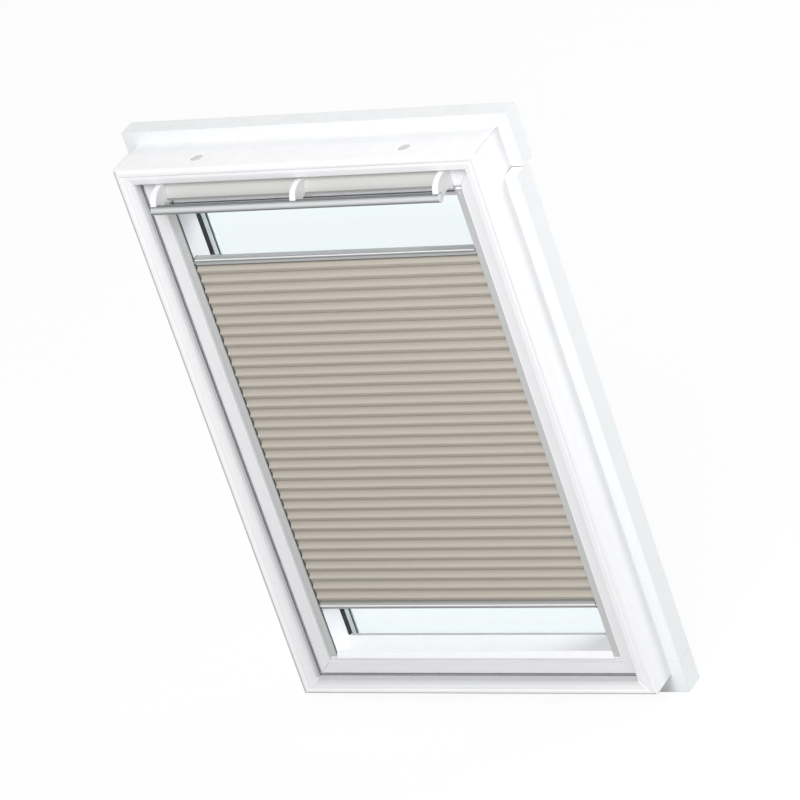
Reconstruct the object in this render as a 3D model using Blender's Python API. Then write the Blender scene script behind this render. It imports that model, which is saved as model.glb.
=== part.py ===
"""Centre-pivot roof window with a double pleated blind in its sash.

The window stands upright: X runs to the right as seen from the room, Y runs
outwards through the roof, and Z runs up the slope of the roof. The origin is
the middle of the frame's bottom face. Lengths are in metres.

Two words are used all through. An inset is a distance inwards from the outer
edge of the frame. A depth is a distance outwards from the frame's room face.
"""

import math

import bmesh
import bpy
from mathutils import Matrix

# Frame
FRAME_WIDTH = 0.780
FRAME_HEIGHT = 1.180
FRAME_DEPTH = 0.100
RIM_WIDTH = 0.020
RIM_RADIUS = 0.004
RIM_FALL = 0.0035
RIM_SHOULDER = 0.005
FRAME_INSET = 0.0345
BOTTOM_DROP = 0.006
ORIGIN_DEPTH = 0.050

# Clearances
SEAT = 0.0003
MITRE_GAP = 0.00025
SASH_GAP = 0.004
RUNNING_GAP = 0.0005

# Sash
SASH_FACE_DEPTH = 0.0235
SASH_PROUD = 0.020
SASH_FACE_WIDTH = 0.0275
SASH_EDGE_RADIUS = 0.0025
LEDGE_DEPTH = 0.034
LEDGE_STEP = 0.003
REVEAL_INSET = 0.0835
TOP_REVEAL_INSET = 0.102
VENT_SLOT_DROP = 0.053
VENT_SLOT_WIDTH = 0.012
VENT_SLOT_DEPTH = 0.012

# Glazing
GLASS_SETBACK = 0.0265
PANE = 0.004
CAVITY = 0.016
GLASS_HIDDEN = 0.007
SILL_HIDES = 0.022
EDGE_ROOM = 0.001
SPACER_WIDTH = 0.0085
GASKET_DEPTH = 0.0057
GASKET_SHOWS = 0.004
OUTER_SEAL_WIDTH = 0.008

# Exterior covers
SHEET = 0.002
COVER_DEPTH = 0.048
COVER_WRAP = 0.033
COVER_OVERHANG = 0.027
COVER_DROP = 0.040
COVER_OVERLAP = 0.030
COVER_REBATE = 0.001
CASING_OVERHANG = 0.025
CASING_LENGTH = 0.111
CASING_DEPTH = 0.0387
CASING_SHEET = 0.0025
CASING_FLANGE = 0.010
SASH_COVER_INSET = 0.042
SASH_COVER_SHOWS = 0.003
SASH_COVER_HEIGHT = 0.0077
SASH_COVER_BEVEL = 0.005
FRAME_SEAL_SETBACK = 0.016
FRAME_SEAL_WIDTH = 0.010
FRAME_SEAL_THICKNESS = 0.0012

# Centre pivots
PIVOT_DEPTH = 0.064
PIVOT_RADIUS = 0.007
PIVOT_CLEARANCE = 0.0004
PIVOT_LENGTH = 0.0115
PIVOT_FLANGE_RADIUS = 0.014
BEARING_HEIGHT = 0.060
BEARING_WIDTH = 0.032
BEARING_THICKNESS = 0.0125

# Lock
LOCK_WIDTH = 0.120
LOCK_THICKNESS = 0.025
LOCK_HEIGHT = 0.034
BOLT_WIDTH = 0.030
BOLT_THICKNESS = 0.010
BOLT_LENGTH = 0.022
STRIKER_WIDTH = 0.080
STRIKER_DEPTH = 0.022
STRIKER_THICKNESS = 0.003
STRIKER_POCKET = 0.014

# Ventilation flap and control bar
FLAP_TOP_DROP = 0.0395
FLAP_LIP_DROP = 0.0675
FLAP_TOP_DEPTH = 0.0185
FLAP_LIP_DEPTH = 0.0065
FLAP_THICKNESS = 0.0025
FLAP_ROLL = 0.005
FLAP_PIVOT_DROP = 0.0735
FLAP_PIVOT_DEPTH = 0.0175
FLAP_PIN_RADIUS = 0.0025
FLAP_PIN_CLEARANCE = 0.0003
LUG_RADIUS = 0.0053
LUG_RISE = 0.0106
CHEEK_THICKNESS = 0.0045
CHEEK_SKIN = 0.0015
CHEEK_POCKET_REACH = 0.007
CHEEK_POCKET_RISE = 0.0125
BAR_RADIUS = 0.009
BAR_DROP = 0.070
BAR_REACH = 0.029
BAR_INSET = 0.0805
ARM_WIDTH = 0.012
ARM_TOP_DROP = 0.0365
ARM_HOOK_RADIUS = 0.005
ARM_GRIP_FROM = math.radians(110)
ARM_GRIP_TO = math.radians(-60)

# Blind rails
RAIL_WIDTH = 0.014
RAIL_THICKNESS = 0.006
RAIL_WALL = 0.0018
STOP_HEIGHT = 0.005
CORD_RADIUS = 0.0006

# Blind
BLIND_DEPTH = 0.0375
PLEAT_SIZE = 0.023
PLEAT_REACH = 0.0085
PLEAT_NECK = 0.002
PLEAT_ROUND = 0.0016
FABRIC_BOTTOM = 0.192
FABRIC_TOP_DROP = 0.227
FABRIC_SIDE_GAP = 0.0015
BLIND_BAR_HEIGHT = 0.014
BLIND_BAR_DEPTH = 0.016
BLIND_BAR_GROOVE = 0.001
END_CAP = 0.003
TONGUE_LENGTH = 0.009

# Fasteners
PLUG_RADIUS = 0.011
PLUG_HEIGHT = 0.0025
PLUG_DEPTH = 0.038
PLUG_OFFSET = 0.2235
SCREW_RADIUS = 0.0042
SCREW_HEIGHT = 0.0022
HEAD_TAPER = 0.8

# Derived places
HALF_WIDTH = FRAME_WIDTH / 2
SASH_INSET = FRAME_INSET + SASH_GAP
SASH_BACK = FRAME_DEPTH + SASH_PROUD
TOP_STRETCH = (TOP_REVEAL_INSET - SASH_INSET) / (REVEAL_INSET - SASH_INSET)
GLASS_INSET = REVEAL_INSET - GLASS_HIDDEN
GLASS_DEPTH = SASH_BACK - GLASS_SETBACK
GLASS_BACK = GLASS_DEPTH + 2 * PANE + CAVITY
PIVOT_HEIGHT = FRAME_HEIGHT / 2
FABRIC_TOP = FRAME_HEIGHT - FABRIC_TOP_DROP
PLEATS = round((FABRIC_TOP - FABRIC_BOTTOM) / PLEAT_SIZE)
PLEAT_PITCH = (FABRIC_TOP - FABRIC_BOTTOM) / PLEATS
RAIL_FACE = LEDGE_DEPTH - SEAT - RAIL_THICKNESS
RAIL_INSET = REVEAL_INSET - RAIL_WIDTH
FLAP_PIVOT_HEIGHT = FRAME_HEIGHT - FLAP_PIVOT_DROP
BAR_HEIGHT = FRAME_HEIGHT - BAR_DROP
BAR_HALF = HALF_WIDTH - BAR_INSET
LOCK_DEPTH = PIVOT_DEPTH - LOCK_THICKNESS / 2
COVER_START = FRAME_DEPTH - COVER_WRAP
COVER_BACK = COVER_START + COVER_DEPTH
CASING_FRONT = FRAME_DEPTH + SEAT
CASING_BACK = CASING_FRONT + CASING_DEPTH
FRAME_SEAL_DEPTH = FRAME_DEPTH - FRAME_SEAL_SETBACK
CUT = 0.010

ARC_STEPS = 4
CURVE_STEPS = 8
ROUND_SIDES = 24
SIDES = ("left", "right")
RING = ("bottom", "top", "left", "right")


def clear_scene():
    """Take every object out of the open scene."""
    for old in list(bpy.data.objects):
        bpy.data.objects.remove(old)


def material(name, colour, roughness, metallic=0.0):
    """A plain Principled material."""
    made = bpy.data.materials.new(name)
    made.use_nodes = True
    shader = made.node_tree.nodes["Principled BSDF"]
    shader.inputs["Base Color"].default_value = (*colour, 1.0)
    shader.inputs["Roughness"].default_value = roughness
    shader.inputs["Metallic"].default_value = metallic
    made.diffuse_color = (*colour, 1.0)
    return made


def y_at(depth):
    """The Y of a depth behind the room face."""
    return depth - ORIGIN_DEPTH


def top_inset(inset):
    """The inset along the sash's top, where its rail is wider than the stiles."""
    return SASH_INSET + (inset - SASH_INSET) * TOP_STRETCH


def bottom_inset(inset):
    """The inset along the bottom, where the frame's member is narrower and the sash sits lower."""
    return inset - BOTTOM_DROP * min(inset / FRAME_INSET, 1)


def sunk_inset(inset):
    """The inset along the bottom of the double pane, whose edge sits lower behind the sill."""
    return bottom_inset(inset) - SILL_HIDES


def finish_mesh(name, shape, look, smooth=False):
    """Turn a bmesh into a named object with outward faces."""
    bmesh.ops.recalc_face_normals(shape, faces=shape.faces)
    mesh = bpy.data.meshes.new(name)
    shape.to_mesh(mesh)
    shape.free()
    mesh.materials.append(look)
    if smooth:
        mesh.shade_smooth()
        mesh.set_sharp_from_angle(angle=math.radians(30))
    made = bpy.data.objects.new(name, mesh)
    bpy.context.scene.collection.objects.link(made)
    return made


def add_prism(shape, ends):
    """Close a prism between two lists of points that run the same way round."""
    first, last = ([shape.verts.new(point) for point in end] for end in ends)
    count = len(first)
    shape.faces.new(first)
    shape.faces.new(last[::-1])
    for i in range(count):
        j = (i + 1) % count
        shape.faces.new((first[i], last[i], last[j], first[j]))


def add_box(shape, low, high):
    """Add a box to a bmesh."""
    ends = [
        [(low[0], low[1], z), (high[0], low[1], z), (high[0], high[1], z), (low[0], high[1], z)]
        for z in (low[2], high[2])
    ]
    add_prism(shape, ends)


def add_along_x(shape, outline, start, end):
    """Extrude a (depth, height) outline along X."""
    add_prism(shape, [[(x, y_at(d), z) for d, z in outline] for x in (start, end)])


def add_along_z(shape, outline, start, end):
    """Extrude an (x, depth) outline along Z."""
    add_prism(shape, [[(x, y_at(d), z) for x, d in outline] for z in (start, end)])


def filleted(corners):
    """An outline from (u, v, radius) corners, each with a radius rounded by an arc."""
    outline = []
    count = len(corners)
    for i, (u, v, radius) in enumerate(corners):
        if not radius:
            outline.append((u, v))
            continue
        before = corners[i - 1]
        after = corners[(i + 1) % count]
        to_before = math.atan2(before[1] - v, before[0] - u)
        to_after = math.atan2(after[1] - v, after[0] - u)
        turn = math.remainder(to_after - to_before, math.tau)
        half = abs(turn) / 2
        middle = to_before + turn / 2
        reach = radius / math.sin(half)
        centre = (u + reach * math.cos(middle), v + reach * math.sin(middle))
        sweep = math.copysign(math.pi - abs(turn), turn)
        start = middle + math.pi + sweep / 2
        for step in range(ARC_STEPS + 1):
            angle = start - sweep * step / ARC_STEPS
            outline.append((centre[0] + radius * math.cos(angle), centre[1] + radius * math.sin(angle)))
    return outline


def bezier(points, steps):
    """Points along a cubic curve through its first and last control point."""
    curve = []
    for i in range(steps + 1):
        t = i / steps
        s = 1 - t
        weights = (s**3, 3 * s * s * t, 3 * s * t * t, t**3)
        curve.append(tuple(sum(w * p[k] for w, p in zip(weights, points)) for k in (0, 1)))
    return curve


def circle(centre, radius, sides=ROUND_SIDES):
    """The corners of a round outline."""
    angles = [math.tau * i / sides for i in range(sides)]
    return [(centre[0] + radius * math.cos(angle), centre[1] + radius * math.sin(angle)) for angle in angles]


def add_ring_bar(shape, side, section, at_top, at_bottom):
    """Add one mitred bar of a ring whose section is given as (inset, depth) points."""
    ends = []
    for end in (-1, 1):
        points = []
        for inset, depth in section:
            y = y_at(depth)
            if side in SIDES:
                x = (HALF_WIDTH - inset) * (-1 if side == "left" else 1)
                low = at_bottom(inset) + MITRE_GAP
                high = FRAME_HEIGHT - at_top(inset) - MITRE_GAP
                points.append((x, y, low if end < 0 else high))
            else:
                z = at_bottom(inset) if side == "bottom" else FRAME_HEIGHT - at_top(inset)
                points.append((end * (HALF_WIDTH - inset - MITRE_GAP), y, z))
        ends.append(points)
    add_prism(shape, ends)


def ring_bar(name, side, section, look, at_top=float, at_bottom=bottom_inset):
    """One mitred bar as an object."""
    shape = bmesh.new()
    add_ring_bar(shape, side, section, at_top, at_bottom)
    return finish_mesh(name, shape, look)


def whole_ring(name, section, look, at_top=float, at_bottom=bottom_inset):
    """A closed ring with sharp corners, as one object."""
    shape = bmesh.new()
    corners = []
    for side, end in ((-1, "low"), (1, "low"), (1, "high"), (-1, "high")):
        corner = []
        for inset, depth in section:
            z = at_bottom(inset) if end == "low" else FRAME_HEIGHT - at_top(inset)
            corner.append(shape.verts.new((side * (HALF_WIDTH - inset), y_at(depth), z)))
        corners.append(corner)
    for here, there in zip(corners, corners[1:] + corners[:1]):
        for i in range(len(section)):
            j = (i + 1) % len(section)
            shape.faces.new((here[i], there[i], there[j], here[j]))
    return finish_mesh(name, shape, look)


def cut_box(target, low, high):
    """Take a box out of an object with a Boolean."""
    shape = bmesh.new()
    add_box(shape, low, high)
    cut_with(target, shape)


def cut_with(target, shape):
    """Take a closed bmesh out of an object with a Boolean."""
    cutter = finish_mesh(f"{target.name}_cutter", shape, target.data.materials[0])
    cutter.hide_render = True
    cutter.display_type = "WIRE"
    boolean = target.modifiers.new("cut", "BOOLEAN")
    boolean.operation = "DIFFERENCE"
    boolean.object = cutter


def add_round_x(shape, centre, radius, start, end):
    """Add a cylinder along X."""
    add_along_x(shape, circle(centre, radius), start, end)


def head(name, place, radius, height, turn, look):
    """A round head with a tapered rim that rises from its place."""
    shape = bmesh.new()
    bmesh.ops.create_cone(
        shape,
        cap_ends=True,
        segments=ROUND_SIDES,
        radius1=radius,
        radius2=radius * HEAD_TAPER,
        depth=height,
        matrix=Matrix.Translation(place) @ turn @ Matrix.Translation((0, 0, height / 2)),
    )
    finish_mesh(name, shape, look, smooth=True)


def build_frame(white):
    """The four fixed frame members, with pockets for the bearings, the striker and the screw plugs."""
    section = filleted(
        [
            (COVER_REBATE, FRAME_DEPTH, 0),
            (COVER_REBATE, COVER_START - SEAT, 0),
            (0, COVER_START - SEAT, 0),
            (0, 0, RIM_RADIUS),
            (RIM_WIDTH, 0, 0),
            (FRAME_INSET, RIM_FALL, RIM_SHOULDER),
            (FRAME_INSET, FRAME_DEPTH, 0),
        ]
    )
    members = {side: ring_bar(f"frame_{side}_member", side, section, white) for side in RING}
    floor = HALF_WIDTH - FRAME_INSET + BEARING_THICKNESS
    mouth = HALF_WIDTH - FRAME_INSET - CUT
    for side, sign in zip(SIDES, (-1, 1)):
        faces = sorted((sign * floor, sign * mouth))
        low = (faces[0], y_at(PIVOT_DEPTH) - BEARING_WIDTH / 2, PIVOT_HEIGHT - BEARING_HEIGHT / 2)
        high = (faces[1], y_at(PIVOT_DEPTH) + BEARING_WIDTH / 2, PIVOT_HEIGHT + BEARING_HEIGHT / 2)
        cut_box(members[side], low, high)
        recess = bmesh.new()
        outline = circle((sign * PLUG_OFFSET, PLUG_DEPTH), PLUG_RADIUS + SEAT)
        add_along_z(recess, outline, FRAME_HEIGHT - PLUG_HEIGHT - SEAT, FRAME_HEIGHT + CUT)
        cut_with(members["top"], recess)
    face = FRAME_HEIGHT - FRAME_INSET
    for width, depth, height in (
        (STRIKER_WIDTH, STRIKER_DEPTH, STRIKER_THICKNESS + SEAT),
        (BOLT_WIDTH + 4 * SEAT, BOLT_THICKNESS + 4 * SEAT, STRIKER_POCKET),
    ):
        middle = y_at(PIVOT_DEPTH)
        cut_box(
            members["top"],
            (-width / 2, middle - depth / 2, face - CUT),
            (width / 2, middle + depth / 2, face + height),
        )


def build_frame_fittings(black, steel, plastic, white):
    """Seal, pivot bearings, striker plate and screw plugs of the fixed frame."""
    inner = FRAME_INSET + SEAT
    outer = inner + FRAME_SEAL_THICKNESS
    back = FRAME_SEAL_DEPTH + FRAME_SEAL_WIDTH
    whole_ring(
        "frame_seal",
        [(inner, FRAME_SEAL_DEPTH), (outer, FRAME_SEAL_DEPTH), (outer, back), (inner, back)],
        black,
    )
    centre = (PIVOT_DEPTH, PIVOT_HEIGHT)
    half_depth = BEARING_WIDTH / 2 - SEAT
    half_height = BEARING_HEIGHT / 2 - SEAT
    floor = HALF_WIDTH - FRAME_INSET + BEARING_THICKNESS - SEAT
    for side, sign in zip(SIDES, (-1, 1)):
        faces = sorted((sign * floor, sign * (HALF_WIDTH - FRAME_INSET)))
        shape = bmesh.new()
        add_box(
            shape,
            (faces[0], y_at(PIVOT_DEPTH) - half_depth, PIVOT_HEIGHT - half_height),
            (faces[1], y_at(PIVOT_DEPTH) + half_depth, PIVOT_HEIGHT + half_height),
        )
        bearing = finish_mesh(f"pivot_bearing_{side}", shape, plastic)
        bore = bmesh.new()
        add_round_x(bore, centre, PIVOT_RADIUS + PIVOT_CLEARANCE, faces[0] - CUT, faces[1] + CUT)
        cut_with(bearing, bore)
    face = FRAME_HEIGHT - FRAME_INSET
    middle = y_at(PIVOT_DEPTH)
    shape = bmesh.new()
    add_box(
        shape,
        (-STRIKER_WIDTH / 2 + SEAT, middle - STRIKER_DEPTH / 2 + SEAT, face),
        (STRIKER_WIDTH / 2 - SEAT, middle + STRIKER_DEPTH / 2 - SEAT, face + STRIKER_THICKNESS),
    )
    striker = finish_mesh("striker_plate", shape, steel)
    half_slot = (BOLT_WIDTH / 2 + 2 * SEAT, BOLT_THICKNESS / 2 + 2 * SEAT)
    cut_box(
        striker,
        (-half_slot[0], middle - half_slot[1], face - CUT),
        (half_slot[0], middle + half_slot[1], face + CUT),
    )
    for side, sign in zip(SIDES, (-1, 1)):
        place = (sign * PLUG_OFFSET, y_at(PLUG_DEPTH), FRAME_HEIGHT - PLUG_HEIGHT)
        head(f"frame_screw_plug_{side}", place, PLUG_RADIUS, PLUG_HEIGHT, Matrix.Identity(4), white)


def build_exterior(cover, steel):
    """Sheet covers on the outside of the frame, and their screws."""
    inner = COVER_OVERLAP
    edge = COVER_REBATE - SEAT
    channel = [
        (edge, COVER_START),
        (-COVER_OVERHANG, COVER_START),
        (-COVER_OVERHANG, COVER_BACK),
        (inner, COVER_BACK),
        (inner, FRAME_DEPTH + SEAT),
        (inner - SHEET, FRAME_DEPTH + SEAT),
        (inner - SHEET, COVER_BACK - SHEET),
        (SHEET - COVER_OVERHANG, COVER_BACK - SHEET),
        (SHEET - COVER_OVERHANG, COVER_START + SHEET),
        (edge, COVER_START + SHEET),
    ]
    casing_bottom = FRAME_HEIGHT + CASING_OVERHANG - CASING_LENGTH
    for side, sign in zip(SIDES, (-1, 1)):
        shape = bmesh.new()
        outline = [(sign * (HALF_WIDTH - inset), depth) for inset, depth in channel]
        add_along_z(shape, outline, COVER_OVERLAP + SEAT, casing_bottom - SEAT)
        finish_mesh(f"side_cladding_{side}", shape, cover)

    half = HALF_WIDTH + COVER_OVERHANG
    shape = bmesh.new()
    add_box(shape, (-half, y_at(COVER_START), -COVER_DROP), (half, y_at(COVER_BACK), COVER_OVERLAP))
    tray = finish_mesh("bottom_cladding", shape, cover)
    cut_box(
        tray,
        (SHEET - half, y_at(COVER_START + SHEET), SHEET - COVER_DROP),
        (half - SHEET, y_at(COVER_BACK - SHEET), COVER_OVERLAP - SHEET),
    )
    half = HALF_WIDTH - edge
    cut_box(
        tray,
        (-half, y_at(COVER_START - CUT), edge),
        (half, y_at(FRAME_DEPTH + SEAT), COVER_OVERLAP + CUT),
    )

    half = HALF_WIDTH + CASING_OVERHANG
    top = FRAME_HEIGHT + CASING_OVERHANG
    shape = bmesh.new()
    add_box(shape, (-half, y_at(CASING_FRONT), casing_bottom), (half, y_at(CASING_BACK), top))
    casing = finish_mesh("top_casing", shape, cover)
    cut_box(
        casing,
        (CASING_SHEET - half, y_at(CASING_FRONT + CASING_SHEET), casing_bottom - CUT),
        (half - CASING_SHEET, y_at(CASING_BACK - CASING_SHEET), top - CASING_SHEET),
    )
    cut_box(
        casing,
        (CASING_FLANGE - HALF_WIDTH, y_at(CASING_FRONT - CUT), casing_bottom - CUT),
        (HALF_WIDTH - CASING_FLANGE, y_at(CASING_FRONT + CASING_SHEET + CUT), FRAME_HEIGHT - CASING_FLANGE),
    )

    outward = Matrix.Rotation(-math.pi / 2, 4, "X")
    level = (casing_bottom + top) / 2
    for side, sign in zip(SIDES, (-1, 1)):
        place = (sign * HALF_WIDTH, y_at(CASING_BACK + SEAT), level)
        head(f"casing_screw_{side}", place, SCREW_RADIUS, SCREW_HEIGHT, outward, steel)


def sash_section(side):
    """The (inset, depth) section of a sash bar, from its outer room corner round."""
    face_end = SASH_INSET + SASH_FACE_WIDTH
    step = face_end + LEDGE_STEP
    rebate = GLASS_INSET - EDGE_ROOM
    if side == "bottom":
        rebate -= SILL_HIDES
    corners = [
        (SASH_INSET, SASH_BACK, 0),
        (SASH_INSET, SASH_FACE_DEPTH, SASH_EDGE_RADIUS / 2),
        (face_end, SASH_FACE_DEPTH, SASH_EDGE_RADIUS),
        (step, LEDGE_DEPTH, 0),
        (REVEAL_INSET, LEDGE_DEPTH, 0),
        (REVEAL_INSET, GLASS_DEPTH - SEAT - GASKET_DEPTH, 0),
        (rebate, GLASS_DEPTH - SEAT - GASKET_DEPTH, 0),
        (rebate, SASH_BACK, 0),
    ]
    return filleted(corners)


def build_sash(white, plastic):
    """Stiles and rails of the sash, and the filter in its ventilation slot."""
    bars = {}
    for side in RING:
        kind = "stile" if side in SIDES else "rail"
        bars[side] = ring_bar(f"sash_{side}_{kind}", side, sash_section(side), white, top_inset)
    edge = FRAME_HEIGHT - SASH_INSET
    cut_box(
        bars["top"],
        (-LOCK_WIDTH / 2, y_at(LOCK_DEPTH), edge - LOCK_HEIGHT),
        (LOCK_WIDTH / 2, y_at(LOCK_DEPTH + LOCK_THICKNESS), edge + CUT),
    )
    upper = FRAME_HEIGHT - VENT_SLOT_DROP
    lower = upper - VENT_SLOT_WIDTH
    reach = BAR_HALF - ARM_WIDTH
    floor = SASH_FACE_DEPTH + VENT_SLOT_DEPTH
    cut_box(bars["top"], (-reach, y_at(SASH_FACE_DEPTH - CUT), lower), (reach, y_at(floor), upper))
    shape = bmesh.new()
    add_box(
        shape,
        (SEAT - reach, y_at(SASH_FACE_DEPTH), lower + SEAT),
        (reach - SEAT, y_at(floor - SEAT), upper - SEAT),
    )
    finish_mesh("air_filter", shape, plastic)


def build_glazing(glass, black, grey):
    """Double pane, spacer bars and the two glazing gaskets."""
    low = sunk_inset(GLASS_INSET)
    high = FRAME_HEIGHT - top_inset(GLASS_INSET)
    reach = HALF_WIDTH - GLASS_INSET
    for name, start in (("inner_pane", GLASS_DEPTH), ("outer_pane", GLASS_BACK - PANE)):
        shape = bmesh.new()
        add_box(shape, (-reach, y_at(start), low), (reach, y_at(start + PANE), high))
        finish_mesh(name, shape, glass)
    near = GLASS_DEPTH + PANE + SEAT
    far = GLASS_BACK - PANE - SEAT
    first = GLASS_INSET + EDGE_ROOM
    last = first + SPACER_WIDTH
    section = [(first, near), (last, near), (last, far), (first, far)]
    whole_ring("glass_spacer", section, grey, top_inset, sunk_inset)
    seat = GLASS_DEPTH - GASKET_DEPTH
    outer = GLASS_INSET - EDGE_ROOM + SEAT
    whole_ring(
        "inner_glazing_gasket",
        [
            (outer, seat),
            (REVEAL_INSET, seat),
            (REVEAL_INSET + GASKET_SHOWS, GLASS_DEPTH - SEAT - GASKET_DEPTH / 5),
            (REVEAL_INSET + GASKET_SHOWS, GLASS_DEPTH - SEAT),
            (outer, GLASS_DEPTH - SEAT),
        ],
        black,
        top_inset,
    )
    near = GLASS_BACK + SEAT
    far = SASH_BACK
    last = GLASS_INSET + OUTER_SEAL_WIDTH
    whole_ring(
        "outer_glazing_gasket",
        [(GLASS_INSET, near), (last, near), (last, far), (GLASS_INSET, far)],
        black,
        top_inset,
        sunk_inset,
    )


def build_sash_covers(cover):
    """Sheet covers on the outside of the sash, holding the glass down."""
    near = SASH_BACK + SEAT
    far = near + SASH_COVER_HEIGHT
    last = REVEAL_INSET + SASH_COVER_SHOWS
    section = [
        (SASH_COVER_INSET, near),
        (SASH_COVER_INSET, far),
        (last - SASH_COVER_BEVEL, far),
        (last, far - SASH_COVER_BEVEL),
        (last, near),
    ]

    def at_bottom(inset):
        """The bottom cover is narrower, because the pane's edge sits lower there."""
        share = (inset - SASH_COVER_INSET) / (last - SASH_COVER_INSET)
        return bottom_inset(inset) - SILL_HIDES * share

    for side in RING:
        ring_bar(f"sash_cover_{side}", side, section, cover, top_inset, at_bottom)


def build_pivots(steel):
    """Pivot pins with their flanges, fixed to the stiles."""
    centre = (PIVOT_DEPTH, PIVOT_HEIGHT)
    for side, sign in zip(SIDES, (-1, 1)):
        stile = HALF_WIDTH - SASH_INSET + SEAT
        frame_face = HALF_WIDTH - FRAME_INSET - RUNNING_GAP
        shape = bmesh.new()
        rings = (
            (stile, PIVOT_FLANGE_RADIUS),
            (frame_face, PIVOT_FLANGE_RADIUS),
            (frame_face, PIVOT_RADIUS),
            (frame_face + PIVOT_LENGTH, PIVOT_RADIUS),
        )
        loops = []
        for x, radius in rings:
            loops.append([shape.verts.new((sign * x, y_at(d), z)) for d, z in circle(centre, radius)])
        for near, far in zip(loops, loops[1:]):
            for i in range(ROUND_SIDES):
                j = (i + 1) % ROUND_SIDES
                shape.faces.new((near[i], far[i], far[j], near[j]))
        shape.faces.new(loops[0])
        shape.faces.new(loops[-1][::-1])
        finish_mesh(f"pivot_pin_{side}", shape, steel, smooth=True)


def build_lock(steel, dark):
    """Lock case in the sash's top rail and the bolt that slides up out of it."""
    edge = FRAME_HEIGHT - SASH_INSET
    middle = y_at(PIVOT_DEPTH)
    shape = bmesh.new()
    add_box(
        shape,
        (SEAT - LOCK_WIDTH / 2, y_at(LOCK_DEPTH) + SEAT, edge - LOCK_HEIGHT + SEAT),
        (LOCK_WIDTH / 2 - SEAT, y_at(LOCK_DEPTH + LOCK_THICKNESS) - SEAT, edge),
    )
    case = finish_mesh("lock_case", shape, dark)
    bolt_bottom = edge - BOLT_LENGTH
    cut_box(
        case,
        (-BOLT_WIDTH / 2, middle - BOLT_THICKNESS / 2, bolt_bottom - SEAT),
        (BOLT_WIDTH / 2, middle + BOLT_THICKNESS / 2, edge + CUT),
    )
    shape = bmesh.new()
    add_box(
        shape,
        (SEAT - BOLT_WIDTH / 2, middle - BOLT_THICKNESS / 2 + SEAT, bolt_bottom),
        (BOLT_WIDTH / 2 - SEAT, middle + BOLT_THICKNESS / 2 - SEAT, edge),
    )
    finish_mesh("latch_bolt", shape, steel)


def flap_front():
    """The flap's front line, from its top edge down to the rolled lip, as (depth, height)."""
    top = FRAME_HEIGHT - FLAP_TOP_DROP
    lip = FRAME_HEIGHT - FLAP_LIP_DROP
    fall = top - lip
    return bezier(
        (
            (FLAP_TOP_DEPTH, top),
            (FLAP_TOP_DEPTH - FLAP_ROLL, top - fall / 2),
            (FLAP_LIP_DEPTH, top - fall / 2),
            (FLAP_LIP_DEPTH, lip),
        ),
        CURVE_STEPS,
    )


def build_flap(warm_white):
    """Ventilation flap: a curved plate with a lip rolled back under it."""
    front = flap_front()
    lip_depth, lip = front[-1]
    roll = [
        (lip_depth + FLAP_ROLL * (1 - math.cos(angle)), lip - FLAP_ROLL * math.sin(angle))
        for angle in (math.pi / 2 * i / ARC_STEPS for i in range(1, ARC_STEPS + 1))
    ]
    line = front + roll
    back = []
    for i, (depth, height) in enumerate(line):
        before = line[max(i - 1, 0)]
        after = line[min(i + 1, len(line) - 1)]
        length = math.dist(before, after)
        normal = ((before[1] - after[1]) / length, (after[0] - before[0]) / length)
        back.append((depth + FLAP_THICKNESS * normal[0], height + FLAP_THICKNESS * normal[1]))
    reach = BAR_HALF - ARM_WIDTH - SEAT
    shape = bmesh.new()
    add_along_x(shape, line + back[::-1], -reach, reach)
    finish_mesh("vent_flap", shape, warm_white, smooth=True)


def arm_outline(hooked):
    """The outline of a bar arm, as (depth, height). A hooked arm ends round the flap's pivot."""
    bar = (-BAR_REACH, BAR_HEIGHT)
    seat = BAR_RADIUS + SEAT
    hug = []
    for i in range(CURVE_STEPS + 1):
        angle = ARM_GRIP_FROM + (ARM_GRIP_TO - ARM_GRIP_FROM) * i / CURVE_STEPS
        hug.append((bar[0] + seat * math.cos(angle), bar[1] + seat * math.sin(angle)))
    crown = FRAME_HEIGHT - ARM_TOP_DROP
    pivot = (FLAP_PIVOT_DEPTH, FLAP_PIVOT_HEIGHT)
    if hooked:
        rear = (pivot[0] + ARM_HOOK_RADIUS, crown - BAR_RADIUS)
        hook = [
            (pivot[0] + ARM_HOOK_RADIUS * math.cos(angle), pivot[1] + ARM_HOOK_RADIUS * math.sin(angle))
            for angle in (-math.pi * i / CURVE_STEPS for i in range(CURVE_STEPS + 1))
        ]
        back = [rear] + hook
    else:
        back = [(depth - SEAT, height) for depth, height in flap_front()]
    under = bezier(
        (
            back[-1],
            (back[-1][0] - BAR_RADIUS / 3, bar[1]),
            (bar[0] / 4, bar[1] + BAR_RADIUS / 3),
            hug[-1],
        ),
        CURVE_STEPS,
    )
    over = bezier(
        (
            hug[0],
            (hug[0][0] + BAR_RADIUS / 2, crown - BAR_RADIUS),
            (bar[0] / 2, crown),
            back[0] if not hooked else (back[0][0] - BAR_RADIUS, crown),
        ),
        CURVE_STEPS,
    )
    return hug[::-1][1:-1] + over + (back if hooked else back[1:]) + under[1:]


def build_bar(white, steel):
    """Control bar and the three arms that carry it."""
    shape = bmesh.new()
    add_round_x(shape, (-BAR_REACH, BAR_HEIGHT), BAR_RADIUS, -BAR_HALF, BAR_HALF)
    finish_mesh("control_bar", shape, steel, smooth=True)
    for name, start, hooked in (
        ("bar_arm_left", -BAR_HALF, True),
        ("bar_arm_middle", -ARM_WIDTH / 2, False),
        ("bar_arm_right", BAR_HALF - ARM_WIDTH, True),
    ):
        shape = bmesh.new()
        add_along_x(shape, arm_outline(hooked), start, start + ARM_WIDTH)
        finish_mesh(name, shape, white, smooth=True)


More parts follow.
